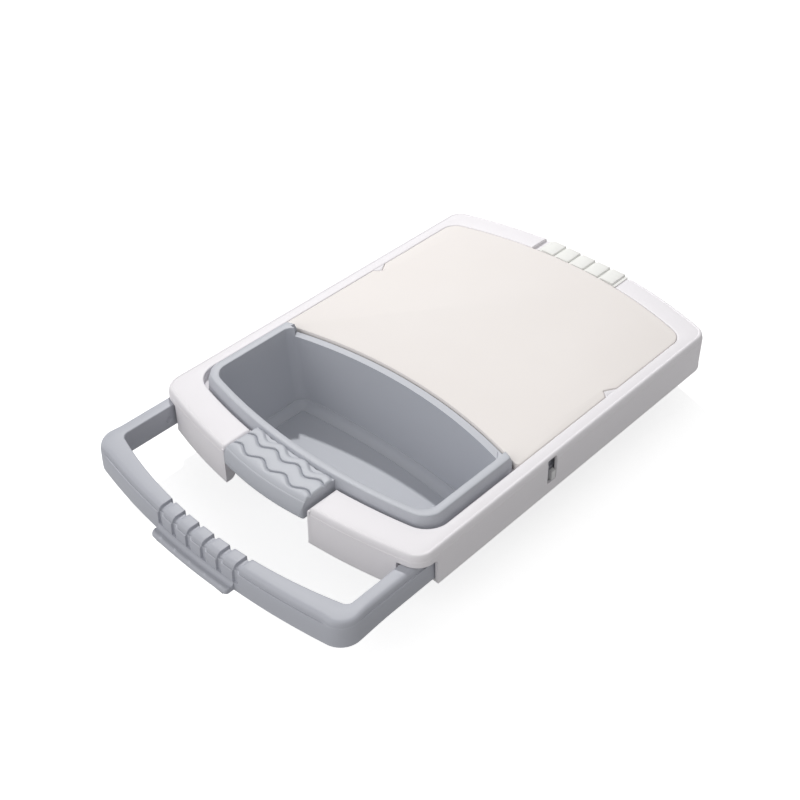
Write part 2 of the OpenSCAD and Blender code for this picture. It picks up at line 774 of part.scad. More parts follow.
module detent_spring() {
    strip_x = rail_wall_x - spring_t;
    tip_x = arm_in_x - bump_gap;
    difference() {
        union() {
            block([strip_x, bump_y - spring_len / 2, detent_z - spring_half_h],
                  [rail_wall_x, bump_y + spring_len / 2, detent_z + spring_half_h]);
            translate([strip_x, bump_y, detent_z]) rotate([0, 90, 0]) rotate_extrude()
                polygon(concat([[0, 0], [bump_r, 0]], arc([0, tip_x - strip_x - bump_r], bump_r, 0, 90, edge_steps),
                               [[bump_flat_r, tip_x - strip_x], [0, tip_x - strip_x]]));
        }
        for (side = [-1, 1])
            translate([strip_x - past, bump_y + side * (spring_len / 2 - rivet_in), detent_z]) rotate([0, 90, 0])
                cylinder(r = rivet_r + fit, h = spring_t + 2 * past);
    }
}

module left_detent_spring() {
    color("silver") mirror([1, 0, 0]) detent_spring();
}

module right_detent_spring() {
    color("silver") detent_spring();
}

module spring_rivets() {
    strip_x = rail_wall_x - spring_t;
    color("silver") both_sides() for (side = [-1, 1])
        translate([strip_x, bump_y + side * (spring_len / 2 - rivet_in), detent_z]) rotate([0, 90, 0]) {
            translate([0, 0, -rivet_head_t]) cylinder(r = 2 * rivet_r, h = rivet_head_t);
            translate([0, 0, -rivet_head_t / 2])
                cylinder(r = rivet_r, h = spring_t + rail_wall_t + rivet_head_t / 2);
        }
}

module rail_screws() {
    color("silver") both_sides() for (spot = screw_spots)
        translate([spot[0], spot[1], flange_top_z - flange_t]) difference() {
            union() {
                translate([0, 0, -screw_head_t]) cylinder(r = screw_head_r, h = screw_head_t);
                translate([0, 0, -screw_head_t / 2]) cylinder(r = screw_r, h = screw_len + screw_head_t / 2);
            }
            for (turn = [0, 90])
                rotate([0, 0, turn]) block([-cross_half, -cross_w / 2, -screw_head_t - past],
                                           [cross_half, cross_w / 2, -screw_head_t + cross_deep]);
        }
}

module stop_pins() {
    color("silver") both_sides()
        translate([arm_mid_x, stop_y, skirt_lift + pin_gap])
            cylinder(r = stop_pin_r, h = arm_z + stop_pin_h - skirt_lift - 2 * pin_gap);
}

module front_foot() {
    color("dimgray") block([-foot_half_w, lip_y + foot_set_in, 0],
                           [foot_half_w, lip_y + foot_set_in + foot_deep, arm_z + foot_sink]);
}

module rear_foot() {
    color("dimgray") block([-foot_half_w, -foot_deep / 2, 0], [foot_half_w, foot_deep / 2, rear_lip_z + foot_sink]);
}

frame();
cutting_plate();
bin();
handle();
rear_grip();
left_rail();
right_rail();
left_detent_spring();
right_detent_spring();
rail_screws();
spring_rivets();
stop_pins();
front_foot();
rear_foot();
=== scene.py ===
# %% [markdown]
# A board that spans a kitchen sink is a shallow moulded frame with a cutting plate laid in it, a
# bin hung beside the plate and a U handle that slides out of the frame's skirt.
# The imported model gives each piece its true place, and this lesson gives it the look of the real one.
# Sizes are written in millimetres, as a mould maker would, and only the mesh helpers turn them to metres.

# %% Load the model
import math
from collections import namedtuple

import bmesh
import bpy
from mathutils import Matrix, Vector


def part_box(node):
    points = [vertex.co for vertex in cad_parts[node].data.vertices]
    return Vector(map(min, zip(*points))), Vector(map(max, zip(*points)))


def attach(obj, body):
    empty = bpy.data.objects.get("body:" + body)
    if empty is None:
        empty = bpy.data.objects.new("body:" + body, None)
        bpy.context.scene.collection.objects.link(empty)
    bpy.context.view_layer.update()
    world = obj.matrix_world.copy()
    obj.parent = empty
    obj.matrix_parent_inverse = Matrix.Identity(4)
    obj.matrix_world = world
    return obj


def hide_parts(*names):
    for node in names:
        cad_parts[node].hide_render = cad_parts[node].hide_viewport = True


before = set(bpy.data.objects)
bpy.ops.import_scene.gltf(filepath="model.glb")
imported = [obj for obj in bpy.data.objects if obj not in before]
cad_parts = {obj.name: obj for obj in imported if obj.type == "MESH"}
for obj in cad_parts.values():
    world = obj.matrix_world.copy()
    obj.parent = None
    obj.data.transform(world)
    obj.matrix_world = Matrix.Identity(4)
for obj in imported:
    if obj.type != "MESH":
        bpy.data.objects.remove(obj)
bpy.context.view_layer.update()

MM = 0.001


def box_mm(node):
    """Lowest and highest corners of a node, in millimetres."""
    low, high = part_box(node)
    return [value / MM for value in low], [value / MM for value in high]


# %% [markdown]
# The camera comes first, so that every later look at the part is from the photographer's place.
# A long lens far away flattens a part, so the lens and the distance were both worked out from how
# the frame's straight edges run together.

# %% Camera
def placed(name, data):
    """An object that shows this data, linked into the scene."""
    thing = bpy.data.objects.new(name, data)
    bpy.context.scene.collection.objects.link(thing)
    return thing


CAMERA_TURN, CAMERA_TILT, CAMERA_ROLL = map(math.radians, (43.71, 40.50, -0.38))
FOCAL_PIXELS, IMAGE_PIXELS, SENSOR = 1245.44, 800, 36
AIM = Vector((10.99, -234, 31)) * MM
DISTANCE, SEEN_TO = 863.31 * MM, 20

back = Vector((math.sin(CAMERA_TURN) * math.cos(CAMERA_TILT), -math.cos(CAMERA_TURN) * math.cos(CAMERA_TILT),
               math.sin(CAMERA_TILT)))
level = Vector((math.cos(CAMERA_TURN), math.sin(CAMERA_TURN), 0))
right = level * math.cos(CAMERA_ROLL) + back.cross(level) * math.sin(CAMERA_ROLL)
turned = Matrix((right, back.cross(right), back)).transposed().to_4x4()

camera_data = bpy.data.cameras.new("camera")
camera_data.sensor_width = SENSOR
camera_data.lens = FOCAL_PIXELS * SENSOR / IMAGE_PIXELS
camera_data.clip_end = SEEN_TO
camera = placed("camera", camera_data)
camera.matrix_world = Matrix.Translation(AIM + back * DISTANCE) @ turned
bpy.context.scene.camera = camera
bpy.context.scene.view_settings.view_transform = "Standard"
print("lens", round(camera_data.lens, 2), "mm, eye at", [round(v / MM) for v in camera.location])

# %% [markdown]
# Almost every edge of the frame, the bin and the handle is the same kind of outline: straight sides,
# two bowed ends and four round corners. One function draws it from seven sizes, as many points each
# time, so that any two of these outlines can be joined point by point into a smooth wall.

# %% Outlines with bowed ends
Plan = namedtuple("Plan", "half front front_r rear rear_r front_corner rear_corner")
BOW_STEPS, CORNER_STEPS = 72, 12


def arc(centre, radius, start, end, steps, last=0):
    """Points on an arc in degrees, without its last point unless last is 1."""
    turns = [math.radians(start + (end - start) * i / steps) for i in range(steps + last)]
    return [(centre[0] + radius * math.cos(a), centre[1] + radius * math.sin(a)) for a in turns]


def round_over(radius, degrees):
    """A rounded edge turn by turn: how far it lies in from one face, and from the other."""
    turns = [math.radians(a) for a in degrees]
    return [(radius * (1 - math.sin(a)), radius * (1 - math.cos(a))) for a in turns]


THIRDS = (0, 30, 60, 90)  # the turns of an edge that is rounded in three steps


def bowed(plan, inset=0.0):
    """The plan's outline, drawn inset millimetres inside it."""
    front_x, rear_x = plan.half - plan.front_corner, plan.half - plan.rear_corner
    front_far, rear_far = plan.front_r - plan.front_corner, plan.rear_r - plan.rear_corner
    front_a, rear_a = (math.degrees(math.asin(v)) for v in (front_x / front_far, rear_x / rear_far))
    front_c, rear_c = (0, plan.front + plan.front_r), (0, plan.rear - plan.rear_r)
    front_y = front_c[1] - front_far * math.cos(math.radians(front_a))
    rear_y = rear_c[1] + rear_far * math.cos(math.radians(rear_a))
    corner, rear_corner = plan.front_corner - inset, plan.rear_corner - inset
    return (arc(front_c, plan.front_r - inset, -90 - front_a, -90 + front_a, BOW_STEPS)
            + arc((front_x, front_y), corner, -90 + front_a, 0, CORNER_STEPS)
            + arc((rear_x, rear_y), rear_corner, 0, 90 - rear_a, CORNER_STEPS)
            + arc(rear_c, plan.rear_r - inset, 90 - rear_a, 90 + rear_a, BOW_STEPS)
            + arc((-rear_x, rear_y), rear_corner, 90 + rear_a, 180, CORNER_STEPS)
            + arc((-front_x, front_y), corner, 180, 270 - front_a, CORNER_STEPS))


LEAST_TURN = 0.4


def shrink(outline, inset):
    """An outline moved inwards along its corners' normals."""
    moved = []
    for i, point in enumerate(outline):
        before = Vector(point) - Vector(outline[i - 1])
        after = Vector(outline[(i + 1) % len(outline)]) - Vector(point)
        normals = [Vector((-side.y, side.x)).normalized() for side in (before, after)]
        middle = (normals[0] + normals[1]).normalized()
        moved.append(tuple(Vector(point) + middle * inset / max(middle.dot(normals[0]), LEAST_TURN)))
    return moved


def at(outline, height):
    """The outline's points at one height."""
    return [(x, y, height) for x, y in outline]


print("one outline has", len(bowed(Plan(10, -10, 50, 10, 50, 2, 2))), "points")

# %% [markdown]
# A moulded wall is a skin drawn through rings: each ring is the outline at one height, a little
# further in where an edge is rounded. Holes and gaps are cut afterwards with exact booleans, whose
# cutters have the round corners of the real openings. The result is copied to a plain mesh at once,
# so no modifier stays on a finished piece.

# %% Skins, prisms and cuts
SMOOTH_ANGLE = math.radians(35)
WELD = 1e-6


def shade(data):
    """Smooth faces that stay sharp across real edges."""
    data.shade_smooth()
    data.set_sharp_from_angle(angle=SMOOTH_ANGLE)


def piece_from(name, mesh):
    """A smooth-shaded object from a bmesh, closed, with its faces outwards."""
    bmesh.ops.remove_doubles(mesh, verts=mesh.verts, dist=WELD)
    bmesh.ops.recalc_face_normals(mesh, faces=mesh.faces)
    data = bpy.data.meshes.new(name)
    mesh.to_mesh(data)
    mesh.free()
    shade(data)
    return placed(name, data)


def skin(name, rings, loop=False):
    """A closed surface through rings of points in millimetres, capped, or joined into a loop."""
    mesh = bmesh.new()
    rows = [[mesh.verts.new(Vector(point) * MM) for point in ring] for ring in rings]
    for low, high in zip(rows, rows[1:] + rows[:1] if loop else rows[1:]):
        for i in range(len(low)):
            j = (i + 1) % len(low)
            mesh.faces.new((low[i], low[j], high[j], high[i]))
    if not loop:
        mesh.faces.new(rows[0][::-1])
        mesh.faces.new(rows[-1])
    return piece_from(name, mesh)


def prism(name, outline, low, high, axis="z"):
    """A straight solid over an outline: (x, y) along z, (y, z) along x or (x, z) along y."""
    place = {"x": lambda p, h: (h, p[0], p[1]), "y": lambda p, h: (p[0], h, p[1]),
             "z": lambda p, h: (p[0], p[1], h)}
    return skin(name, [[place[axis](point, height) for point in outline] for height in (low, high)])


def plain_mesh(piece):
    """Turns what the modifiers make into the piece's own mesh."""
    graph = bpy.context.evaluated_depsgraph_get()
    data = bpy.data.meshes.new_from_object(piece.evaluated_get(graph), depsgraph=graph)
    piece.modifiers.clear()
    piece.data = data
    mesh = bmesh.new()
    mesh.from_mesh(data)
    bmesh.ops.remove_doubles(mesh, verts=mesh.verts, dist=WELD)
    mesh.to_mesh(data)
    mesh.free()
    shade(data)


def combine(piece, tools, operation):
    """Joins or cuts with other solids, which are used up."""
    for tool in tools:
        step = piece.modifiers.new(tool.name, "BOOLEAN")
        step.object, step.operation, step.solver = tool, operation, "EXACT"
    plain_mesh(piece)
    for tool in tools:
        bpy.data.objects.remove(tool)


def mirrored(outline):
    """The same outline on the other side, in the same turning direction."""
    return [(-x, y) for x, y in reversed(outline)]


def rounded_box(width, height, radius, centre, steps=6):
    """A rectangle with round corners."""
    x, y = width / 2 - radius, height / 2 - radius
    points = []
    for across, up, start in ((x, y, 0), (-x, y, 90), (-x, -y, 180), (x, -y, 270)):
        points += arc((centre[0] + across, centre[1] + up), radius, start, start + 90, steps, 1)
    return points


def disc(centre, radius, steps=32):
    """A full circle."""
    return arc(centre, radius, 0, 360, steps)


def box(name, low, high):
    """A block between its lowest and its highest corner."""
    outline = [(low[0], low[1]), (high[0], low[1]), (high[0], high[1]), (low[0], high[1])]
    return prism(name, outline, low[2], high[2])


def span(side, near, far):
    """Two distances from the middle on one side, as places with the lower first."""
    return sorted((side * near, side * far))


print("solids are closed by skin() and cut by combine()")

# %% [markdown]
# The frame is one moulding: a skirt that leans in a little, a long soft edge that ends in a fine ledge
# on the skirt, a level rim with a shallow line near its edge, and a recess whose floor carries the
# plate and whose opening lets the bin through. All of these run round the whole frame, so their
# cross-section is a list of rings, and the last ring closes onto the first.

# %% Frame rings
frame_low, frame_high = box_mm("frame")
half_w, frame_front, rim_z = frame_high[0], frame_low[1], frame_high[2]
SKIRT_SINK = 0.7
skirt_z = frame_low[2] - SKIRT_SINK
WALL, DECK_T, DRAFT = 2.2, 2.0, 0.8
FRAME = Plan(half_w, frame_front, 430, 0, 360, 15, 15)
RECESS = Plan(113.1, -327.6, 437.8, -20.2, 320.3, 19, 14.3)
RIM_IN = Plan(101.5, -317.5, 430, -218.5, 355, 12, 9)
RIM_OUT = Plan(109.6, -324.8, 437.3, -212.4, 361.1, 17, 5)
FOOT_IN = Plan(91.2, -308, 600, -228.6, 600, 11, 10)
WELL_GAP = 2.8
deck_top = rim_z - 6.3
deck_low = deck_top - DECK_T
EDGE_RUN, EDGE_DROP, EDGE_STEPS, EDGE_FOOT = 2.4, 4.4, 9, 1.0

# Pairs of inset and height. The skirt's heights count from its foot, the others from the rim's level
skirt = [(0.25, 0), (0.05, 0.07), (0, 0.3), (0, 1.3), (0.3, 2.6)]
ledge = [(DRAFT * 0.8, -5.2), (DRAFT * 0.82, -4.75), (0.85, -4.55)]
edge = [(EDGE_FOOT + EDGE_RUN * run, -EDGE_DROP * drop)
        for drop, run in round_over(1, [90 * i / EDGE_STEPS for i in range(EDGE_STEPS + 1)])]
groove = [(3.8, -0.03), (4.1, -0.28), (4.5, -0.34), (5.2, -0.26), (6.4, -0.16)]
inner = [(-1, 0), (-0.55, -0.08), (-0.22, -0.3), (-0.05, -0.6), (0, -1), (0, -5.8), (0.15, -6.1), (0.6, -6.3)]
outer = [(inset, skirt_z + rise) for inset, rise in skirt]
outer += [(inset, rim_z + drop) for inset, drop in ledge + edge + groove]
frame_rings = [at(bowed(FRAME, inset), height) for inset, height in outer]
frame_rings += [at(bowed(RECESS, inset), rim_z + drop) for inset, drop in inner]
frame_rings += [at(bowed(RIM_IN, -WELL_GAP), deck_top), at(bowed(RIM_IN, -WELL_GAP), deck_low)]
frame_rings += [at(bowed(RECESS, -WALL), deck_low), at(bowed(RECESS, -WALL), rim_z - WALL)]
frame_rings += [at(bowed(FRAME, WALL + DRAFT), rim_z - WALL), at(bowed(FRAME, WALL), skirt_z)]
frame_piece = skin("frame_moulding", frame_rings, loop=True)
print(len(frame_rings), "rings,", len(frame_piece.data.polygons), "faces")

# %% [markdown]
# The front end has a gap for the bin's tab. Beside it the mould closes the hollow rim with two
# cheeks, and the corners carry notches for the handle's arms. A cutter with a flared top gives the
# gap's upper edges their round corners in the same stroke as the gap.

# %% Cheeks, gap, notches and windows
PAST, BITE = 1.0, 0.5
GAP_HALF, GAP_DEEP, FLARE = 40.4, 11, 3.5
CHEEK_DEEP, CHEEK_ROUND, TOE_IN, TOE_UP, WEB_IN = 8.5, 5, 0.3, 0.2, 3
gap_rise = GAP_HALF ** 2 / (2 * FRAME.front_r)
cheek_y = frame_front + gap_rise + DRAFT
cheek_end = frame_front + gap_rise + CHEEK_DEEP
web_end = RECESS.front + WEB_IN
cheek = [(cheek_y - TOE_IN, skirt_z + TOE_UP), (cheek_y, skirt_z)]
cheek += arc((cheek_end - CHEEK_ROUND, skirt_z + CHEEK_ROUND), CHEEK_ROUND, -90, 0, 6)
cheek += [(cheek_end, skirt_z + CHEEK_ROUND), (cheek_end, deck_low), (web_end, deck_low)]
cheek += [(web_end, rim_z - WALL + BITE), (cheek_y, rim_z - WALL + BITE)]
SEAT_HALF, SEAT_DEEP, SEAT_PAST, SLAB_REAR = 42, 3, 3, -3.5
added = [box("seat_slab", (-SEAT_HALF - WALL, RECESS.rear + BITE, rim_z - SEAT_DEEP - WALL),
             (SEAT_HALF + WALL, SLAB_REAR, rim_z - WALL + BITE))]
for side in (-1, 1):
    added.append(prism("cheek", cheek, *span(side, GAP_HALF - BITE, GAP_HALF + WALL), "x"))
combine(frame_piece, added, "UNION")

gap_side = [(GAP_HALF, -PAST), (GAP_HALF, rim_z - FLARE)]
gap_side += [(GAP_HALF + run, rim_z - drop) for drop, run in round_over(FLARE, range(15, 91, 15))]
gap_side += [(GAP_HALF + FLARE, rim_z + PAST)]
gap = gap_side + mirrored(gap_side)
NOTCH_X, NOTCH_END, NOTCH_TOP, NOTCH_R, NOTCH_FOOT_R = 107, frame_front + 33, 22, 3, 0.8
notch = [(frame_front - PAST, -PAST), (NOTCH_END + NOTCH_FOOT_R, -PAST)]
notch += arc((NOTCH_END + NOTCH_FOOT_R, skirt_z + NOTCH_FOOT_R), NOTCH_FOOT_R, 270, 180, 5)
notch += arc((NOTCH_END - NOTCH_R, NOTCH_TOP - NOTCH_R), NOTCH_R, 0, 90, 6)
notch += [(NOTCH_END - NOTCH_R, NOTCH_TOP), (frame_front - PAST, NOTCH_TOP)]
WINDOW_Y, WINDOW_W, WINDOW_H, WINDOW_TOP, WINDOW_R, WINDOW_DEEP = -206.7, 9.4, 20, 29, 1.2, 6
window = rounded_box(WINDOW_W, WINDOW_H, WINDOW_R, (WINDOW_Y, WINDOW_TOP - WINDOW_H / 2))
cutters = [prism("gap", gap, frame_front - PAST, RECESS.front + GAP_DEEP, "y")]
for side in (-1, 1):
    cutters.append(prism("notch", notch, *span(side, NOTCH_X, half_w + PAST), "x"))
    cutters.append(prism("window", window, *span(side, half_w - WINDOW_DEEP, half_w + PAST), "x"))
cutters.append(box("seat", (-SEAT_HALF, RECESS.rear - SEAT_PAST, rim_z - SEAT_DEEP),
                   (SEAT_HALF, PAST, rim_z + PAST)))
combine(frame_piece, cutters, "DIFFERENCE")
print("frame has", len(frame_piece.data.polygons), "faces after the cuts")

# %% [markdown]
# Two blunt teeth stand in the recess and hold the plate's edge, a low ledge fills the corner beside
# the tab, posts take the rails' screws, and a lip rests on the sink's rear edge. Each grows out of
# the frame, so each is sunk a little into it and joined.

# %% Teeth, ledges, posts and rear lip
TOOTH_Y, TOOTH_OUT, TOOTH_LEN, TOOTH_SHARE, TOOTH_TIP_R = -129.4, 5, 14, 0.35, 0.8
TOOTH_EDGE_Z, TOOTH_EDGE = 1.2, ((0.3, 0.5), (0.9, 0.2))  # below the rim, the pairs after their inset


def tooth(side):
    """A blunt tooth with a round tip and a softened top."""
    root, tip = RECESS.half + BITE, RECESS.half - TOOTH_OUT
    outline = [(root, TOOTH_Y - TOOTH_LEN * TOOTH_SHARE)]
    outline += arc((tip + TOOTH_TIP_R, TOOTH_Y), TOOTH_TIP_R, 240, 120, 6, 1)
    outline += [(root, TOOTH_Y + TOOTH_LEN * (1 - TOOTH_SHARE))]
    outline = mirrored(outline)[::-1] if side < 0 else outline[::-1]
    rings = [at(outline, deck_top - BITE), at(outline, rim_z - TOOTH_EDGE_Z)]
    return skin("tooth", rings + [at(shrink(outline, inset), rim_z - below) for inset, below in TOOTH_EDGE])


SIDE_LEDGE_X, SIDE_LEDGE_Y = 37.5, frame_front + 6
added = [tooth(-1), tooth(1)]
for side in (-1, 1):
    ends = span(side, SIDE_LEDGE_X, GAP_HALF + 1)
    added.append(box("ledge", (ends[0], SIDE_LEDGE_Y, deck_low), (ends[1], web_end, deck_top)))
LIP_HALF, LIP_T, LIP_OUT, LIP_Z = 38, 3.0, 7.5, 3.3
REAR_LIP = Plan(LIP_HALF, -14, 400, LIP_OUT, 360, 3, 6)
lip_levels = ((0.5, 0), (0, 0.4), (0, LIP_T - 1), (0.3, LIP_T - 0.3), (1, LIP_T))
added.append(skin("rear_lip", [at(bowed(REAR_LIP, inset), LIP_Z + height) for inset, height in lip_levels]))
combine(frame_piece, added, "UNION")
POST_R, FLANGE_TOP = 4, 14.5
SCREWS = [(94, frame_front + 27, rim_z - WALL), (97.5, -190, deck_low), (97.5, -130, deck_low)]
combine(frame_piece, [prism("post", disc((side * x, y), POST_R), FLANGE_TOP, top + BITE)
                      for x, y, top in SCREWS for side in (-1, 1)], "UNION")
print("frame has", len(frame_piece.data.polygons), "faces with its teeth, posts and lip")

# %% [markdown]
# Under the deck the real moulding carries thin ribs that keep it flat. They repeat, so Geometry Nodes
# lay them out: one tree puts a copy of a bar at each step of a line, with the count, the first place
# and the step as named inputs. Every tree ends in Realize Instances and Set Material, so that a plain
# mesh comes out. The Material input stays empty for now, because the finishes are made later.

# %% A tree that repeats a solid along a line
def add(tree, kind, settings=None, links=None):
    """One node with its settings and links.

    A key is a property, a socket's name or its number. A linked node stands for its first output.
    """
    node = tree.nodes.new(kind)
    for name, value in (settings or {}).items():
        if isinstance(name, int) or name in node.inputs:
            node.inputs[name].default_value = value
        else:
            setattr(node, name, value)
    for name, source in (links or {}).items():
        socket = source.outputs[0] if isinstance(source, bpy.types.Node) else source
        tree.links.new(socket, node.inputs[name])
    return node


def new_tree(name, inputs):
    """A geometry tree with named inputs of the given kinds, the sockets of its inputs, and its end."""
    tree = bpy.data.node_groups.new(name, "GeometryNodeTree")
    for title, kind in {"Geometry": "Geometry", **inputs, "Material": "Material"}.items():
        tree.interface.new_socket(title, in_out="INPUT", socket_type="NodeSocket" + kind)
    tree.interface.new_socket("Geometry", in_out="OUTPUT", socket_type="NodeSocketGeometry")
    return tree, add(tree, "NodeGroupInput").outputs, add(tree, "NodeGroupOutput").inputs[0]


def close(tree, given, end, geometry):
    """Ends a tree with real geometry that takes the tree's material."""
    real = add(tree, "GeometryNodeRealizeInstances", {}, {"Geometry": geometry})
    painted = add(tree, "GeometryNodeSetMaterial", {}, {"Geometry": real, "Material": given["Material"]})
    tree.links.new(painted.outputs[0], end)


def grow(piece, tree, values):
    """Runs a tree on a piece with its inputs set by identifier, and keeps the plain mesh."""
    step = piece.modifiers.new(tree.name, "NODES")
    step.node_group = tree
    for socket in tree.interface.items_tree:
        if socket.item_type == "SOCKET" and socket.in_out == "INPUT" and socket.name in values:
            step[socket.identifier] = values[socket.name]
    plain_mesh(piece)


row_tree, given, end = new_tree("row_of_copies", {"Count": "Int", "First": "Vector", "Step": "Vector"})
line = add(row_tree, "GeometryNodeMeshLine", {"mode": "OFFSET"},
           {"Count": given["Count"], "Start Location": given["First"], "Offset": given["Step"]})
copies = add(row_tree, "GeometryNodeInstanceOnPoints", {}, {"Points": line, "Instance": given["Geometry"]})
close(row_tree, given, end, copies)


def row_of(piece, count, first, step):
    """Repeats a piece along a line; first and step are in millimetres."""
    grow(piece, row_tree, {"Count": count, "First": Vector(first) * MM, "Step": Vector(step) * MM})
    return piece


def joined(name, pieces):
    """Several meshes as one object."""
    mesh = bmesh.new()
    for piece in pieces:
        mesh.from_mesh(piece.data)
    for piece in pieces:
        bpy.data.objects.remove(piece)
    return piece_from(name, mesh)


print("row tree has", len(row_tree.nodes), "nodes")

# %% Deck ribs
RIB_T, RIB_H, RIB_HALF, RIB_CLEAR, LONG_RIBS, CROSS_RIBS = 1.6, 8, 90, 6, 3, 4
LONG_PITCH, CROSS_PITCH, FIRST_CROSS = 60, 45, -60
plate_front, plate_rear = -211.9, -20.5
rib_low, rib_top = deck_low - RIB_H, deck_low + BITE
long_rib = box("long_rib", (-RIB_T / 2, plate_front + RIB_CLEAR, rib_low), (RIB_T / 2, plate_rear, rib_top))
cross_rib = box("cross_rib", (-RIB_HALF, -RIB_T / 2, rib_low), (RIB_HALF, RIB_T / 2, rib_top))
row_of(long_rib, LONG_RIBS, (-LONG_PITCH, 0, 0), (LONG_PITCH, 0, 0))
row_of(cross_rib, CROSS_RIBS, (0, FIRST_CROSS, 0), (0, -CROSS_PITCH, 0))
deck_ribs = joined("deck_ribs", [long_rib, cross_rib])
print("deck ribs:", len(deck_ribs.data.polygons), "faces")

# %% [markdown]
# The cutting plate is one flat slab with a hollow front edge, so that food can be swept off it into
# the bin. It is drawn as an outline, with a notch for each tooth, and its long edges are rounded by
# four rings above and below.

# %% Cutting plate
plate_low, plate_high = box_mm("cutting_plate")
plate_half, plate_z, plate_top = plate_high[0], plate_low[2], plate_high[2]
FRONT_R, EDGE_R, CORNER_R, PLAY = 360, 0.9, 2.5, 0.3
PLATE = Plan(plate_half, plate_front - 60, 500, plate_rear, 320, 5, 14)  # only its rear end is used
front_centre = plate_front - FRONT_R
reach = math.degrees(math.asin(plate_half / FRONT_R))
rear_part = bowed(PLATE)[BOW_STEPS + CORNER_STEPS:2 * BOW_STEPS + 3 * CORNER_STEPS]
tip_x = RECESS.half - TOOTH_OUT - PLAY
notch_low, notch_high = TOOTH_Y - TOOTH_LEN * TOOTH_SHARE, TOOTH_Y + TOOTH_LEN * (1 - TOOTH_SHARE)
share_out = (plate_half - tip_x) / (RECESS.half - tip_x)
right_notch = [(plate_half, TOOTH_Y + (notch_low - TOOTH_Y) * share_out - PLAY), (tip_x, TOOTH_Y - PLAY),
               (tip_x, TOOTH_Y + PLAY), (plate_half, TOOTH_Y + (notch_high - TOOTH_Y) * share_out + PLAY)]
corner_y = front_centre + math.sqrt(FRONT_R ** 2 - plate_half ** 2)
slope = math.radians(reach)
corner_centre = (plate_half - CORNER_R, corner_y + CORNER_R * (math.tan(slope) + 1 / math.cos(slope)))
right_corner = arc(corner_centre, CORNER_R, 270 - reach, 360, 6) + [(plate_half, corner_centre[1])]
meets = math.degrees(math.asin((corner_centre[0] - CORNER_R * math.sin(slope)) / FRONT_R))
front_edge = arc((0, front_centre), FRONT_R, 90 + meets, 90 - meets, 90)
plate_outline = front_edge + right_corner + right_notch + rear_part
plate_outline += mirrored(right_notch) + mirrored(right_corner)
plate_rings = []
for inset, rise in round_over(EDGE_R, THIRDS):
    plate_rings.append(at(shrink(plate_outline, inset), plate_z + rise))
for inset, drop in round_over(EDGE_R, THIRDS[::-1]):
    plate_rings.append(at(shrink(plate_outline, inset), plate_top - drop))
plate_piece = skin("cutting_slab", plate_rings)
print("plate outline has", len(plate_outline), "points")

# %% [markdown]
# The bin is a thin shell: a floor, a sloping foot, four leaning walls and a broad rim that hides its
# hollow underside. The same outline function draws every level, inside first and then back down the
# outside, so floor and underside close the shell. Behind the ears the rear wall is low.

# %% Bin
bin_low, bin_high = box_mm("bin")
bin_top, bin_under = bin_high[2], bin_low[2]
BIN_WALL, FOOT_H, FOOT_W = 2.0, 6.0, 7.5
floor_z = bin_under + BIN_WALL
foot_z = floor_z + FOOT_H
flange_z = deck_top + PLAY
REAR_Z, EAR_RUN, EAR_CLEAR = 28.5, 14, 4
HOLLOW_Z, HOLLOW_REAR_Z, RIM_SKIN, RIM_LEAN, RIM_ROUND = bin_top - 3, 26.5, 2, 1.7, 1.0


def hollow(outline):
    """The rim's hollow is high, but low where the rear wall is low."""
    limit = RIM_IN.rear - EAR_RUN - EAR_CLEAR
    return [(x, y, HOLLOW_REAR_Z if y > limit else HOLLOW_Z) for x, y in outline]


def levels(plan, pairs):
    """One ring of a plan for each pair of inset and height."""
    return [at(bowed(plan, inset), height) for inset, height in pairs]


CREASE = 0.6
bin_rings = levels(FOOT_IN, [
    (FOOT_W + CREASE, floor_z), (FOOT_W + CREASE * 0.8, floor_z + CREASE * 0.8), (FOOT_W, floor_z + CREASE),
    (FOOT_W - CREASE, floor_z + CREASE * 1.1), (CREASE * 2.0, foot_z - CREASE * 1.2),
    (CREASE * 1.7, foot_z - 0.15), (CREASE * 1.4, foot_z), (0.15, foot_z + 0.05), (0, foot_z + 0.25)])
bin_rings += levels(RIM_IN, [(0, flange_z), (0, bin_top - 0.9), (-0.26, bin_top - 0.26), (-0.9, bin_top)])
rim_round = round_over(RIM_ROUND, (0, 22, 45, 68, 90))
bin_rings += levels(RIM_OUT, [(RIM_LEAN + inset, bin_top - drop) for inset, drop in rim_round])
bin_rings += levels(RIM_OUT, [(0.2, rim_z + 0.3), (0.05, flange_z + 0.4), (0.35, flange_z),
                              (RIM_SKIN, flange_z)])
bin_rings += [hollow(bowed(RIM_OUT, RIM_SKIN)), hollow(bowed(RIM_IN, -BIN_WALL))]
bin_rings += levels(RIM_IN, [(-BIN_WALL, flange_z)])
bin_rings += levels(FOOT_IN, [(-BIN_WALL, foot_z - BIN_WALL / 2), (FOOT_W - 2, bin_under + 0.6),
                              (FOOT_W - 1, bin_under)])
bin_piece = skin("bin_shell", bin_rings)
low_rear = box("low_rear", (-RIM_IN.half, RIM_IN.rear - EAR_RUN, REAR_Z),
               (RIM_IN.half, plate_front + PAST, bin_top + PAST))
combine(bin_piece, [low_rear], "DIFFERENCE")
print("bin:", len(bin_rings), "rings,", len(bin_piece.data.polygons), "faces")

# %% [markdown]
# The tab at the bin's front is gripped by the fingertips. Its face bulges a little, a fine ledge runs
# along it, and a rounded shoulder leads to a level top with wavy steps, like overlapping tiles. It is
# drawn straight, as one cross-section carried from end to end. A Geometry Nodes tree then bends its
# front to a bow and sways its steps into waves.

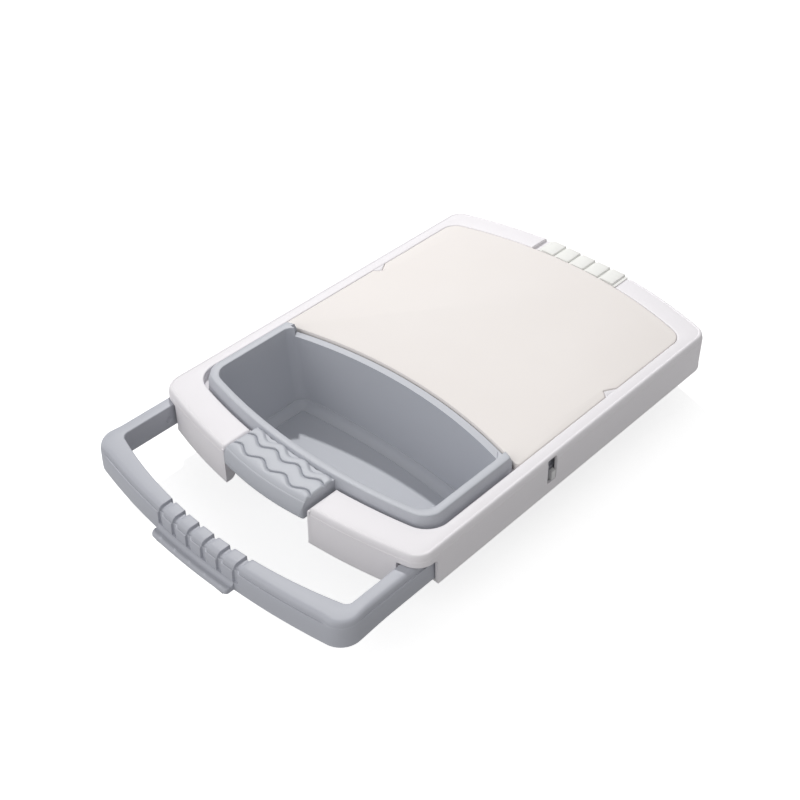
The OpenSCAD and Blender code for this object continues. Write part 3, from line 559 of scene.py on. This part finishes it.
# %% Tab
TAB_HALF, TAB_END_R, TAB_ROOT_SHARE, TAB_STEPS = 37.9, 2.2, 0.02, 160
TAB_TOP, TAB_LOW, TAB_FRONT, tab_root = bin_top - 1, bin_top - 16, -356.2, RIM_OUT.front + 3
WAVE_LEN, WAVE_AMP, WAVE_ROWS = 21.2, 2.2, (-342.9, -331.2)
STEP_H, RAMP, RAMP_POWER, RISER_RUN = 1.5, 2.7, 1.6, 0.45
TAB_BOW_R, FLAT_FROM, RIM_GAP = 230, 6.4, 0.4


def ramp(foot, steps):
    """The soft fall of a tile, which is lowest at foot."""
    shares = [i / steps for i in range(steps + 1)]
    return [(foot - RAMP * (1 - share), TAB_TOP - STEP_H * share ** RAMP_POWER) for share in shares]


# Pairs of distance behind the front and height from the tab's top
face = [(3.2, -15), (1.6, -14.9), (0.8, -14.4), (0.25, -13.2), (0, -11.5), (0, -9.5), (0.45, -7.3),
        (1.3, -5.2), (2.3, -3.4)]
ledge = [(2.9, -2.35), (3.15, -2.08), (3.3, -2.0), (3.9, -1.9)]
shoulder = [(4.15, -1.55), (4.6, -1.12), (5.2, -0.65), (5.8, -0.3), (FLAT_FROM, 0)]
riser = [(0.1, -STEP_H), (0.3, -0.25), (RISER_RUN, -0.06), (0.75, 0)]
section = [(run, TAB_TOP + drop) for run, drop in face + ledge + shoulder]
for row in WAVE_ROWS:
    foot = row - TAB_FRONT - RISER_RUN
    section += ramp(foot, 6) + [(foot + run, TAB_TOP + drop) for run, drop in riser]
section += ramp(RIM_OUT.front - TAB_FRONT + RIM_GAP, 5)
section += [(tab_root - TAB_FRONT, TAB_TOP - STEP_H), (tab_root - TAB_FRONT, TAB_LOW)]


def drawn_in(x, half, end_r):
    """How far a piece with rounded ends has drawn in at x."""
    over = max(0, abs(x) - (half - end_r)) / end_r
    return end_r * (1 - math.sqrt(max(0, 1 - over ** 2)))


def stations(half, end_r, degrees, steps):
    """Places from end to end, close together where the ends are rounded."""
    ends = [half - inset for inset, _ in round_over(end_r, degrees)]
    return [-x for x in ends[::-1]] + [(2 * i / steps - 1) * (half - end_r) for i in range(steps + 1)] + ends


def tab_ring(x):
    """The section at x: narrower towards the root, and drawn in near the ends to round them."""
    draw, length = drawn_in(x, TAB_HALF, TAB_END_R), tab_root - TAB_FRONT
    return [(x * (1 - TAB_ROOT_SHARE * run / length), TAB_FRONT + max(run, draw), min(z, TAB_TOP - draw))
            for run, z in section]


tab_xs = stations(TAB_HALF, TAB_END_R, (15, 30, 45, 60, 75, 90), TAB_STEPS)
tab_piece = skin("grip_tab", [tab_ring(x) for x in tab_xs])

wave_tree, given, end = new_tree("waves_behind_a_bow", dict.fromkeys(
    ("Wave Length", "Wave Height", "Bow Radius", "Bow Until", "Waves From"), "Float"))
spot = add(wave_tree, "GeometryNodeInputPosition")
place = add(wave_tree, "ShaderNodeSeparateXYZ", {}, {"Vector": spot}).outputs
turns = add(wave_tree, "ShaderNodeMath", {"operation": "DIVIDE"}, {0: place["X"], 1: given["Wave Length"]})
angle = add(wave_tree, "ShaderNodeMath", {"operation": "MULTIPLY", 1: math.tau}, {0: turns})
sway = add(wave_tree, "ShaderNodeMath", {"operation": "COSINE"}, {0: angle})
wave = add(wave_tree, "ShaderNodeMath", {"operation": "MULTIPLY"}, {0: sway, 1: given["Wave Height"]})
wave_back = add(wave_tree, "ShaderNodeMath", {"operation": "MULTIPLY", 1: -1.0}, {0: wave})
square = add(wave_tree, "ShaderNodeMath", {"operation": "MULTIPLY"}, {0: place["X"], 1: place["X"]})
bow = add(wave_tree, "ShaderNodeMath", {"operation": "DIVIDE"}, {0: square, 1: given["Bow Radius"]})
half_bow = add(wave_tree, "ShaderNodeMath", {"operation": "MULTIPLY", 1: 0.5}, {0: bow})
behind = add(wave_tree, "ShaderNodeMapRange", {"interpolation_type": "SMOOTHSTEP"},
             {"Value": place["Y"], "From Min": given["Bow Until"], "From Max": given["Waves From"]})
shift = add(wave_tree, "ShaderNodeMix", {}, {0: behind, 2: half_bow, 3: wave_back})
offset = add(wave_tree, "ShaderNodeCombineXYZ", {}, {"Y": shift})
moved = add(wave_tree, "GeometryNodeSetPosition", {}, {"Geometry": given["Geometry"], "Offset": offset})
close(wave_tree, given, end, moved)
JUST_BEHIND, JUST_BEFORE = 0.05, 0.02
bow_until = TAB_FRONT + FLAT_FROM + JUST_BEHIND
waves_from = WAVE_ROWS[0] - RISER_RUN - RAMP - JUST_BEFORE
grow(tab_piece, wave_tree, {"Wave Length": WAVE_LEN * MM, "Wave Height": WAVE_AMP * MM,
                            "Bow Radius": TAB_BOW_R * MM, "Bow Until": bow_until * MM,
                            "Waves From": waves_from * MM})
print("tab:", len(tab_piece.data.polygons), "faces")

# %% [markdown]
# The handle is a U of two arms and a bar, hollow from below, with ribbed grips pressed into the
# bar's middle. It follows a path, so one cross-section is carried along it: at each station the
# outer and the inner edge of the U are known, and the section sits between them. The grip's blocks
# lie like roof tiles. Each line is a steep step, and the next block rises softly from its foot.

# %% Handle stations
handle_high = box_mm("handle")[1]
handle_half, arm_end = handle_high[0], handle_high[1]
ARM_W, ARM_Z, ARM_H = 13, 3.3, 18.3
BAR_OUTER_Y, BAR_INNER_Y, BAR_OUTER_R, BAR_INNER_R = -412, -399.1, 550, 365
OUTER_CORNER, INNER_CORNER = 16, 5.5
ARM_OUT, ARM_THIN, BAR_LOW_Z = 0.9, 1.5, 1.2
arm_top = ARM_Z + ARM_H
arm_in = handle_half - ARM_W
BLOCKS, PITCH, GROOVE_DEEP = 5, 14.6, 1.9
groove_xs = [(i - BLOCKS / 2) * PITCH for i in range(BLOCKS + 1)]
STEP_AT, STEP_RUN, FLOOR_RUN, RISE_RUN, BEFORE = -0.6, 0.35, 2.5, 4.4, 0.5


def smooth(value, start, end):
    """Zero before start, one after end and an even curve between."""
    share = min(1, max(0, (value - start) / (end - start)))
    return share * share * (3 - 2 * share)


def dip(x):
    """How far the top lies below the blocks at x: a steep step down, a floor and a soft rise."""
    deepest = 0
    for centre in groove_xs:
        down = smooth(x - centre, STEP_AT, STEP_AT + STEP_RUN)
        deepest = max(deepest, down * (1 - smooth(x - centre, FLOOR_RUN, RISE_RUN)))
    return GROOVE_DEEP * deepest


def corner_path(half, front, radius, corner, steps):
    """Points of the right-hand corner, from the bar to the arm, with the corner's ends."""
    turn = math.degrees(math.asin((half - corner) / (radius - corner)))
    centre = (half - corner, front + radius - (radius - corner) * math.cos(math.radians(turn)))
    return arc(centre, corner, -90 + turn, 0, steps) + [(half, centre[1])]


def bow_y(x, front, radius):
    """Where a bow of one radius lies at x."""
    return front + radius - math.sqrt(radius ** 2 - x ** 2)


def bar_station(out_x, in_x, side=1):
    """A station of the bar: its outer and its inner point."""
    return ((side * out_x, bow_y(out_x, BAR_OUTER_Y, BAR_OUTER_R)),
            (side * in_x, bow_y(in_x, BAR_INNER_Y, BAR_INNER_R)))


TURN_STEPS, ARM_STEPS, PLAIN_STEPS, BLOCK_STEPS = 14, 30, 14, 3
outer_corner = corner_path(handle_half + ARM_OUT, BAR_OUTER_Y, BAR_OUTER_R, OUTER_CORNER, TURN_STEPS)
inner_corner = corner_path(arm_in + ARM_THIN, BAR_INNER_Y, BAR_INNER_R, INNER_CORNER, TURN_STEPS)
near = [STEP_AT - BEFORE, STEP_AT - 0.15, STEP_AT] + [STEP_AT + STEP_RUN * i / 4 for i in range(1, 5)]
near += [STEP_AT + STEP_RUN + 0.3, 0.6, 1.4, FLOOR_RUN]
near += [FLOOR_RUN + (RISE_RUN - FLOOR_RUN) * i / 6 for i in range(1, 7)]
block_run = PITCH + STEP_AT - BEFORE - RISE_RUN
near += [RISE_RUN + block_run * i / (BLOCK_STEPS + 1) for i in range(1, BLOCK_STEPS + 1)]
grip_xs = sorted({round(centre + step, 3) for centre in groove_xs for step in near})
outer_x, inner_x = outer_corner[0][0], inner_corner[0][0]
left_grip, right_grip = grip_xs[0], grip_xs[-1]


def plain_run(grip_end, side):
    """Bar stations between the grip's end and the corner on one side."""
    near_x = abs(grip_end)
    shares = [i / PLAIN_STEPS for i in range(1, PLAIN_STEPS)]
    return [bar_station(near_x + (outer_x - near_x) * share, near_x + (inner_x - near_x) * share, side)
            for share in shares]


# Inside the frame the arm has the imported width; outside it is a little further out and narrower
OUT_FROM, OUT_FULL, THIN_FROM, THIN_FULL = -262, -300, -312, -338
arm_run = []
for i in range(1, ARM_STEPS + 1):
    share = i / ARM_STEPS
    out_y, in_y = (y + (arm_end - y) * share for y in (outer_corner[-1][1], inner_corner[-1][1]))
    arm_run.append(((handle_half + ARM_OUT * smooth(-out_y, -OUT_FROM, -OUT_FULL), out_y),
                    (arm_in + ARM_THIN * smooth(-in_y, -THIN_FROM, -THIN_FULL), in_y)))
corners = list(zip(outer_corner, inner_corner)) + arm_run
path = [((-a[0], a[1]), (-b[0], b[1])) for a, b in corners[::-1]] + plain_run(left_grip, -1)[::-1]
path += [bar_station(x, x) for x in grip_xs] + plain_run(right_grip, 1) + corners
print("handle path:", len(path), "stations")

# %% [markdown]
# The section has an upright face that leans in a little, a narrow ledge, and a quarter-round shoulder
# above it. The ledge catches the lamp as a bright line on the straight stretches, and fades where the
# U turns its corners. The bar hangs lower than the arms, which have to pass over the rails' shelves.

# %% Handle section
LEDGE_Z, LEDGE_IN, LEDGE_W, SHOULDER_RUN, SHOULDER_POWER = 17.7, 0.9, 1.1, 4.0, 1.15
INNER_R, THICK, SOLID_HALF = 0.9, 2.4, 42
GROOVE_FOOT = ARM_Z + LIP_T + 2
LOW_FROM, LOW_FULL, LEDGE_FADE = -359, -396, 7
FACE_SHARE, SHOULDER_SHARE, INSIDE_SHARE = 0.9, 0.8, 0.6  # of a groove's depth on the top


def handle_section(outer, inner, depth, solid):
    """The section's points between one outer and one inner point of the path."""
    run = Vector(inner) - Vector(outer)
    width, way = run.length, run.normalized()
    foot = ARM_Z - (ARM_Z - BAR_LOW_Z) * smooth(-outer[1], -LOW_FROM, -LOW_FULL)
    on_arm = smooth(outer[1], outer_corner[-1][1] - 2, outer_corner[-1][1] + LEDGE_FADE)
    on_bar = smooth(outer_x - abs(outer[0]), -4, LEDGE_FADE)
    start = LEDGE_IN + LEDGE_W * max(on_arm, on_bar) + 0.2
    base, top, cut = LEDGE_Z + 0.1, arm_top - depth, depth * FACE_SHARE
    profile = [(0.3, foot), (0, foot + 0.3), (0.2, GROOVE_FOOT), (0.2 + cut, GROOVE_FOOT + 0.5)]
    profile += [(0.45 + cut, (GROOVE_FOOT + LEDGE_Z) / 2), (LEDGE_IN - 0.25 + cut, LEDGE_Z - 0.7)]
    profile += [(LEDGE_IN + cut, LEDGE_Z - 0.12), (LEDGE_IN + 0.1 + cut, LEDGE_Z)]
    profile += [(max(start - 0.2, LEDGE_IN + 0.15) + cut, base)]
    for turn in (8, 20, 34, 48, 62, 76, 90):
        a = math.radians(turn)
        run_in = start + depth * SHOULDER_SHARE + SHOULDER_RUN * (1 - math.cos(a)) ** SHOULDER_POWER
        profile.append((run_in, base + (top - base) * math.sin(a)))
    inside = width - depth * INSIDE_SHARE
    profile += [(inside - inset, top - drop) for inset, drop in round_over(INNER_R, THIRDS)]
    profile += [(inside, arm_top - 5), (width, arm_top - 6.5), (width, ARM_Z + 0.4), (width - 0.4, ARM_Z)]
    ceiling = ARM_Z + 0.3 if solid else arm_top - THICK - 1
    profile += [(width - THICK, ARM_Z), (width - THICK, ceiling), (THICK + LEDGE_IN, ceiling), (THICK, foot)]
    return [(outer[0] + way.x * s, outer[1] + way.y * s, z) for s, z in profile]


handle_rings = []
for outer, inner in path:
    on_grip = left_grip - 0.1 < outer[0] < right_grip + 0.1 and outer[1] < BAR_INNER_Y
    depth = dip(outer[0]) if on_grip else 0
    handle_rings.append(handle_section(outer, inner, depth, on_grip and abs(outer[0]) < SOLID_HALF))
handle_piece = skin("handle_moulding", handle_rings)
DIMPLE_R, DIMPLE_DEEP, DIMPLE_Z, DIMPLE_Y, DIMPLE_STEP = 3.2, 1.2, 11, frame_front + 46.5, 37.5


def ball(name, centre, radius):
    """A closed ball."""
    mesh = bmesh.new()
    bmesh.ops.create_uvsphere(mesh, u_segments=40, v_segments=24, radius=radius * MM,
                              matrix=Matrix.Translation(Vector(centre) * MM))
    return piece_from(name, mesh)


dimples = []
for i in (-1, 0, 1):
    dimple_y = DIMPLE_Y + i * DIMPLE_STEP
    dimple_x = arm_in + ARM_THIN * smooth(-dimple_y, -THIN_FROM, -THIN_FULL) - DIMPLE_R + DIMPLE_DEEP
    dimples += [ball("dimple", (side * dimple_x, dimple_y, DIMPLE_Z), DIMPLE_R) for side in (-1, 1)]
combine(handle_piece, dimples, "DIFFERENCE")
print("handle:", len(handle_piece.data.polygons), "faces")

# %% [markdown]
# Under the ribbed grip a thin lip stands out of the bar and rests on the sink's front edge. A hollow
# valley leads into it from the bar's face, and its edge is a soft crest. Inside the hollow arms thin
# ribs repeat at an even step, and a round boss on each side takes the stop pin.

# %% Handle lip and ribs
LIP_REACH, LIP_END_R, VALLEY_R, CREST_R, LIP_LOW, GRIP_LIP_HALF = 6.9, 1.9, 3.0, 2.4, 2.2, 37
LIP_ROOT, LIP_CHAMFER, VALLEY_SINK, LIP_STEPS = 2, 0.4, 0.5, 40
QUARTER = (0, 22.5, 45, 67.5, 90)


def lip_section(x):
    """The lip's section at x, from the bar's face outwards; it draws back at its rounded ends."""
    reach_out = LIP_REACH - drawn_in(x, GRIP_LIP_HALF, LIP_END_R)
    bar_face, top = bow_y(x, BAR_OUTER_Y, BAR_OUTER_R), ARM_Z + LIP_T
    profile = [(-LIP_ROOT, LIP_LOW), (reach_out - LIP_CHAMFER, LIP_LOW), (reach_out, LIP_LOW + LIP_CHAMFER)]
    profile += [(reach_out - run, top - drop) for drop, run in round_over(CREST_R, QUARTER)]
    profile += [(run, top - VALLEY_SINK + rise) for run, rise in round_over(VALLEY_R, QUARTER)]
    profile.append((-LIP_ROOT, top - VALLEY_SINK + VALLEY_R))
    return [(x, bar_face - run, z) for run, z in profile]


lip_xs = stations(GRIP_LIP_HALF, LIP_END_R, (20, 40, 60, 75, 90), LIP_STEPS)
lip_piece = skin("front_lip", [lip_section(x) for x in lip_xs])
ARM_RIB_PITCH, ARM_RIBS, RIB_SIDE, FIRST_ARM_RIB = 20, 11, 2.2, BAR_INNER_Y + 21
RIB_FOOT, RIB_HEAD, STOP_IN, BOSS_R = 1, 0.5, 25, 4
inner_parts = []
for side in (1, -1):
    ends = span(side, arm_in + RIB_SIDE, handle_half - RIB_SIDE)
    rib = box("arm_rib", (ends[0], -RIB_T / 2, ARM_Z + RIB_FOOT),
              (ends[1], RIB_T / 2, arm_top - THICK - RIB_HEAD))
    inner_parts.append(row_of(rib, ARM_RIBS, (0, FIRST_ARM_RIB, 0), (0, ARM_RIB_PITCH, 0)))
for side in (-1, 1):
    stop = (side * (handle_half - ARM_W / 2), arm_end - STOP_IN)
    inner_parts.append(prism("boss", disc(stop, BOSS_R), ARM_Z, arm_top - THICK))
handle_ribs = joined("handle_ribs", inner_parts)
print("lip and ribs:", len(lip_piece.data.polygons), len(handle_ribs.data.polygons), "faces")

# %% [markdown]
# The rear grip is a soft strip with five raised pads. One pad is drawn, with its front and rear top
# edges rounded, and the row tree repeats it over the strip.

# %% Rear grip
grip_low, grip_high = box_mm("rear_grip")
seat_z = rim_z - SEAT_DEEP
BASE_T, PAD_ROUND, PAD_REAR, PAD_FRONT, PAD_GAP = 0.9, 1.2, -1.5, RECESS.rear + 0.3, 2.4
PAD_SINK, PAD_SET_BACK, PAD_EDGE = 0.3, 0.5, 0.6
pad_half = (PITCH - PAD_GAP) / 2


def pad_ring(x, inset):
    """A pad's outline in y and z at x, drawn in by inset near its ends."""
    top, rear, front = grip_high[2] - inset, PAD_REAR - inset, PAD_FRONT + PAD_SET_BACK + inset
    points = [(front, seat_z + PAD_SINK), (rear, seat_z + PAD_SINK), (rear, top - PAD_ROUND)]
    points += arc((rear - PAD_ROUND, top - PAD_ROUND), PAD_ROUND, 0, 90, 5) + [(rear - PAD_ROUND, top)]
    points += [(front + PAD_EDGE, top), (front + PAD_EDGE / 3, top - PAD_EDGE / 3), (front, top - PAD_EDGE)]
    return [(x, y, z) for y, z in points]


PAD_END, STUD_X, STUD_Y, STUD_R, STUD_SINK = 0.8, 25, -10, 1.95, 0.4
pad_xs = [(pad_half - inset, drop) for inset, drop in round_over(PAD_END, THIRDS)]
pad_rings = [pad_ring(-x, inset) for x, inset in pad_xs[::-1]] + [pad_ring(x, inset) for x, inset in pad_xs]
pads = row_of(skin("pads", pad_rings), BLOCKS, (-(BLOCKS - 1) / 2 * PITCH, 0, 0), (PITCH, 0, 0))
strip = box("strip", (grip_low[0], PAD_FRONT, seat_z), (grip_high[0], PAD_REAR - 1, seat_z + BASE_T))
studs = [prism("stud", disc((side * STUD_X, STUD_Y), STUD_R, 24), grip_low[2], seat_z + STUD_SINK)
         for side in (-1, 1)]
grip_piece = joined("rear_grip_pads", [pads, strip] + studs)
print("rear grip:", len(grip_piece.data.polygons), "faces")

# %% [markdown]
# Each finish starts from what the real piece is made of and how it was moulded. The colours are
# written as sRGB hex values, as a colour chart gives them, and one function turns them to the linear
# values that the shader wants. Grain sizes are real millimetres.

# %% Colour and plastic
def linear(colour):
    """sRGB hex to linear red, green, blue and alpha."""
    parts = [int(colour[i:i + 2], 16) / 255 for i in (0, 2, 4)]
    return [v / 12.92 if v <= 0.04045 else ((v + 0.055) / 1.055) ** 2.4 for v in parts] + [1]


def per_mm(size):
    """A pattern scale, in Object coordinates in metres, whose cells are size millimetres wide."""
    return 1 / (size * MM)


CLOUDS_WIDE = 70


def new_material(name):
    """A material, its tree and its shader."""
    material = bpy.data.materials.new(name)
    material.use_nodes = True
    return material, material.node_tree, material.node_tree.nodes["Principled BSDF"]


def moulded(name, colour, shade, roughness, spread, grain, depth, edge, ior=1.49):
    """A moulded plastic: two close colours in slow clouds, a grained surface and softened edges."""
    material, tree, shader = new_material(name)
    place = add(tree, "ShaderNodeTexCoord").outputs["Object"]
    clouds = add(tree, "ShaderNodeTexNoise", {"Scale": per_mm(CLOUDS_WIDE), "Detail": 3.0, "Roughness": 0.5},
                 {"Vector": place})
    tint = add(tree, "ShaderNodeMix", {"data_type": "RGBA", 6: linear(colour), 7: linear(shade)}, {0: clouds})
    tree.links.new(tint.outputs[2], shader.inputs["Base Color"])
    fine = add(tree, "ShaderNodeTexNoise", {"Scale": per_mm(grain), "Detail": 4.0, "Roughness": 0.6},
               {"Vector": place})
    rough = add(tree, "ShaderNodeMapRange", {"To Min": roughness - spread, "To Max": roughness + spread},
                {"Value": fine})
    tree.links.new(rough.outputs[0], shader.inputs["Roughness"])
    soft = add(tree, "ShaderNodeBevel", {"samples": 6, "Radius": edge * MM})
    bump = add(tree, "ShaderNodeBump", {"Strength": 1.0, "Distance": depth * MM},
               {"Height": fine, "Normal": soft})
    tree.links.new(bump.outputs[0], shader.inputs["Normal"])
    shader.inputs["IOR"].default_value = ior
    return material


# %% [markdown]
# The frame is white polypropylene, injection moulded in a satin tool: a clean cool white, waxy
# rather than glassy, with an orange-peel ripple too small to see except in its highlights.
# The plate is polyethylene with a fine spark-eroded matte face and a warmer white.
# The grey polypropylene of bin and handle is a little glossier, so its grain is shallow. The handle's
# grey is the bin's made a little darker, as painted shade: it lies at the front of the board, where
# less light reaches it. After the two colours come the roughness and its spread, and in millimetres
# the grain's width and depth and the edges' radius.

# %% Plastics of the board
satin_polypropylene = moulded("satin white polypropylene", "EEEBEE", "EAE7EA", 0.5, 0.05, 1.6, 0.012, 0.5)
matte_polyethylene = moulded("matte warm white polyethylene", "EEE9E6", "EAE4E0",
                             0.64, 0.06, 0.5, 0.02, 0.4, ior=1.51)
grey_polypropylene = moulded("grey moulded polypropylene", "BEC0C7", "B9BCC3", 0.48, 0.05, 1.4, 0.01, 0.2)
# Painted shade: the handle takes the bin's grey made a little darker, for the lower light at the board's
# front.
handle_grey_with_painted_shade = moulded("grey moulded polypropylene with painted shade", "B7B9C1", "B2B4BC",
                               0.48, 0.05, 1.4, 0.01, 0.2)
soft_elastomer = moulded("off-white soft elastomer", "F0F0ED", "EAEAE6", 0.72, 0.05, 0.4, 0.03, 0.4)
white_acetal = moulded("white moulded acetal", "E2E2E2", "DADADA", 0.4, 0.04, 1.2, 0.01, 0.3, ior=1.48)
grey_elastomer = moulded("grey soft elastomer", "7A7D82", "707378", 0.75, 0.05, 0.4, 0.03, 0.4)

# %% [markdown]
# Springs, rivets, screws and pins are stainless steel, pressed or turned and then tumbled, which
# leaves a dull even sheen with faint streaks along the piece.

# %% Tumbled stainless steel
STREAK_WIDE, STREAK_SQUEEZE = 0.4, 0.15  # the squeeze along Y draws the streaks out
tumbled_steel, tree, shader = new_material("tumbled stainless steel")
shader.inputs["Metallic"].default_value = 1.0
place = add(tree, "ShaderNodeTexCoord").outputs["Object"]
stretched = add(tree, "ShaderNodeMapping", {"Scale": (1, STREAK_SQUEEZE, 1)}, {"Vector": place})
streaks = add(tree, "ShaderNodeTexNoise", {"Scale": per_mm(STREAK_WIDE), "Detail": 3.0},
              {"Vector": stretched})
metal = add(tree, "ShaderNodeMix", {"data_type": "RGBA", 6: linear("B4B4B8"), 7: linear("9C9CA1")},
            {0: streaks})
rough = add(tree, "ShaderNodeMapRange", {"To Min": 0.28, "To Max": 0.42}, {"Value": streaks})
tree.links.new(metal.outputs[2], shader.inputs["Base Color"])
tree.links.new(rough.outputs[0], shader.inputs["Roughness"])
print("materials:", len(bpy.data.materials))

# %% [markdown]
# Every piece gets its finish, rides on the body that carries it and stands for the solid it
# replaces. Rails, springs, screws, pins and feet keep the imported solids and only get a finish.

# %% Finish, body and solid of each piece
MADE = [
    (frame_piece, satin_polypropylene, "frame", "frame", "frame"),
    (deck_ribs, satin_polypropylene, "frame", "frame", None),
    (plate_piece, matte_polyethylene, "plate", "plate", "cutting_plate"),
    (bin_piece, grey_polypropylene, "grey", "bin", "bin"),
    (tab_piece, grey_polypropylene, "grey", "bin", None),
    (handle_piece, handle_grey_with_painted_shade, "grey", "handle", "handle"),
    (lip_piece, handle_grey_with_painted_shade, "grey", "handle", None),
    (handle_ribs, handle_grey_with_painted_shade, "grey", "handle", None),
    (grip_piece, soft_elastomer, "grip", "frame", "rear_grip"),
]
for piece, finish, slot, body, node in MADE:
    piece.data.materials.clear()
    piece.data.materials.append(finish)
    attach(piece, body)
    if node:
        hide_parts(node)

KEPT = {"left_rail": white_acetal, "right_rail": white_acetal, "left_detent_spring": tumbled_steel,
        "right_detent_spring": tumbled_steel, "rail_screws": tumbled_steel, "spring_rivets": tumbled_steel,
        "stop_pins": tumbled_steel, "front_foot": grey_elastomer, "rear_foot": grey_elastomer}
for node, finish in KEPT.items():
    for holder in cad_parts[node].material_slots:
        holder.material = finish
print("finished", len(MADE), "made pieces and", len(KEPT), "packed ones")

# %% [markdown]
# The board was lit by one fairly sharp lamp, high at the left and a little behind, and by soft light
# from everywhere. The bright patch on the bin's floor shows the lamp's direction, because its edge is
# the shadow of the low rear rim. The lamp stands near enough to fade from the rear left corner to the
# front right one, as on the real board. A wide soft sheet of light at the front lifts the upright faces.

# %% Light, floor and backdrop
TO_LAMP = Vector((-0.47, 0.415, 0.78)).normalized()
TO_FRONT = Vector((-0.25, -0.85, 0.45)).normalized()
LAMP_SHARE, FILL_SHARE, FRONT_SHARE = 0.37, 0.43, 0.31
LAMP_FAR, LAMP_RADIUS, LIT_SPOT = 1.7, 0.03, Vector((0, -0.27, 0))
FRONT_SPREAD = math.radians(60)
WHITE = (1, 1, 1, 1)


def lamp(name, kind, strength):
    """A lamp of one kind and strength, still at the origin."""
    data = bpy.data.lights.new(name, kind)
    data.energy = strength
    return placed(name, data)


# This many watts give LAMP_SHARE of full white on a level face at the lit spot
key = lamp("key lamp", "POINT", 4 * math.pi * LAMP_FAR ** 2 * LAMP_SHARE * math.pi / TO_LAMP.z)
key.data.shadow_soft_size = LAMP_RADIUS
key.location = LIT_SPOT + TO_LAMP * LAMP_FAR
front = lamp("front softbox", "SUN", FRONT_SHARE * math.pi)
front.data.angle = FRONT_SPREAD
front.rotation_euler = TO_FRONT.to_track_quat("Z", "Y").to_euler()

world = bpy.data.worlds.new("studio")
bpy.context.scene.world = world
world.use_nodes = True
tree = world.node_tree
tree.nodes.clear()
rays = add(tree, "ShaderNodeLightPath").outputs
seen = add(tree, "ShaderNodeMath", {"operation": "MAXIMUM"},
           {0: rays["Is Camera Ray"], 1: rays["Is Glossy Ray"]})
seen = add(tree, "ShaderNodeMath", {"operation": "MAXIMUM"}, {0: seen, 1: rays["Is Transmission Ray"]})
fill = add(tree, "ShaderNodeBackground", {"Color": WHITE, "Strength": FILL_SHARE})
white = add(tree, "ShaderNodeBackground", {"Color": WHITE, "Strength": 1.0})
both = add(tree, "ShaderNodeMixShader", {}, {0: seen, 1: fill, 2: white})
add(tree, "ShaderNodeOutputWorld", {}, {"Surface": both})

FLOOR_HALF, FLOOR_T, FLOOR_GAP, FIBRE_WIDE, GLOW = 4000, 10, 0.1, 2, 0.74
floor = box("studio_floor", (-FLOOR_HALF, -FLOOR_HALF, bin_under - FLOOR_T),
            (FLOOR_HALF, FLOOR_HALF, bin_under - FLOOR_GAP))
paper, tree = new_material("white studio paper")[:2]
tree.nodes.clear()
rays = add(tree, "ShaderNodeLightPath").outputs
place = add(tree, "ShaderNodeTexCoord").outputs["Object"]
fibre = add(tree, "ShaderNodeTexNoise", {"Scale": per_mm(FIBRE_WIDE), "Detail": 3.0}, {"Vector": place})
tone = add(tree, "ShaderNodeMix", {"data_type": "RGBA", 6: linear("D0D0D0"), 7: linear("CCCCCC")}, {0: fibre})
matte = add(tree, "ShaderNodeBsdfDiffuse", {}, {"Color": tone.outputs[2]})
glow_share = add(tree, "ShaderNodeMath", {"operation": "MULTIPLY", 1: GLOW}, {0: rays["Is Camera Ray"]})
glow = add(tree, "ShaderNodeEmission", {"Color": WHITE}, {"Strength": glow_share})
sheet = add(tree, "ShaderNodeAddShader", {}, {0: matte, 1: glow})
add(tree, "ShaderNodeOutputMaterial", {}, {"Surface": sheet})
floor.data.materials.append(paper)
print("key", LAMP_SHARE, "front", FRONT_SHARE, "fill", FILL_SHARE)
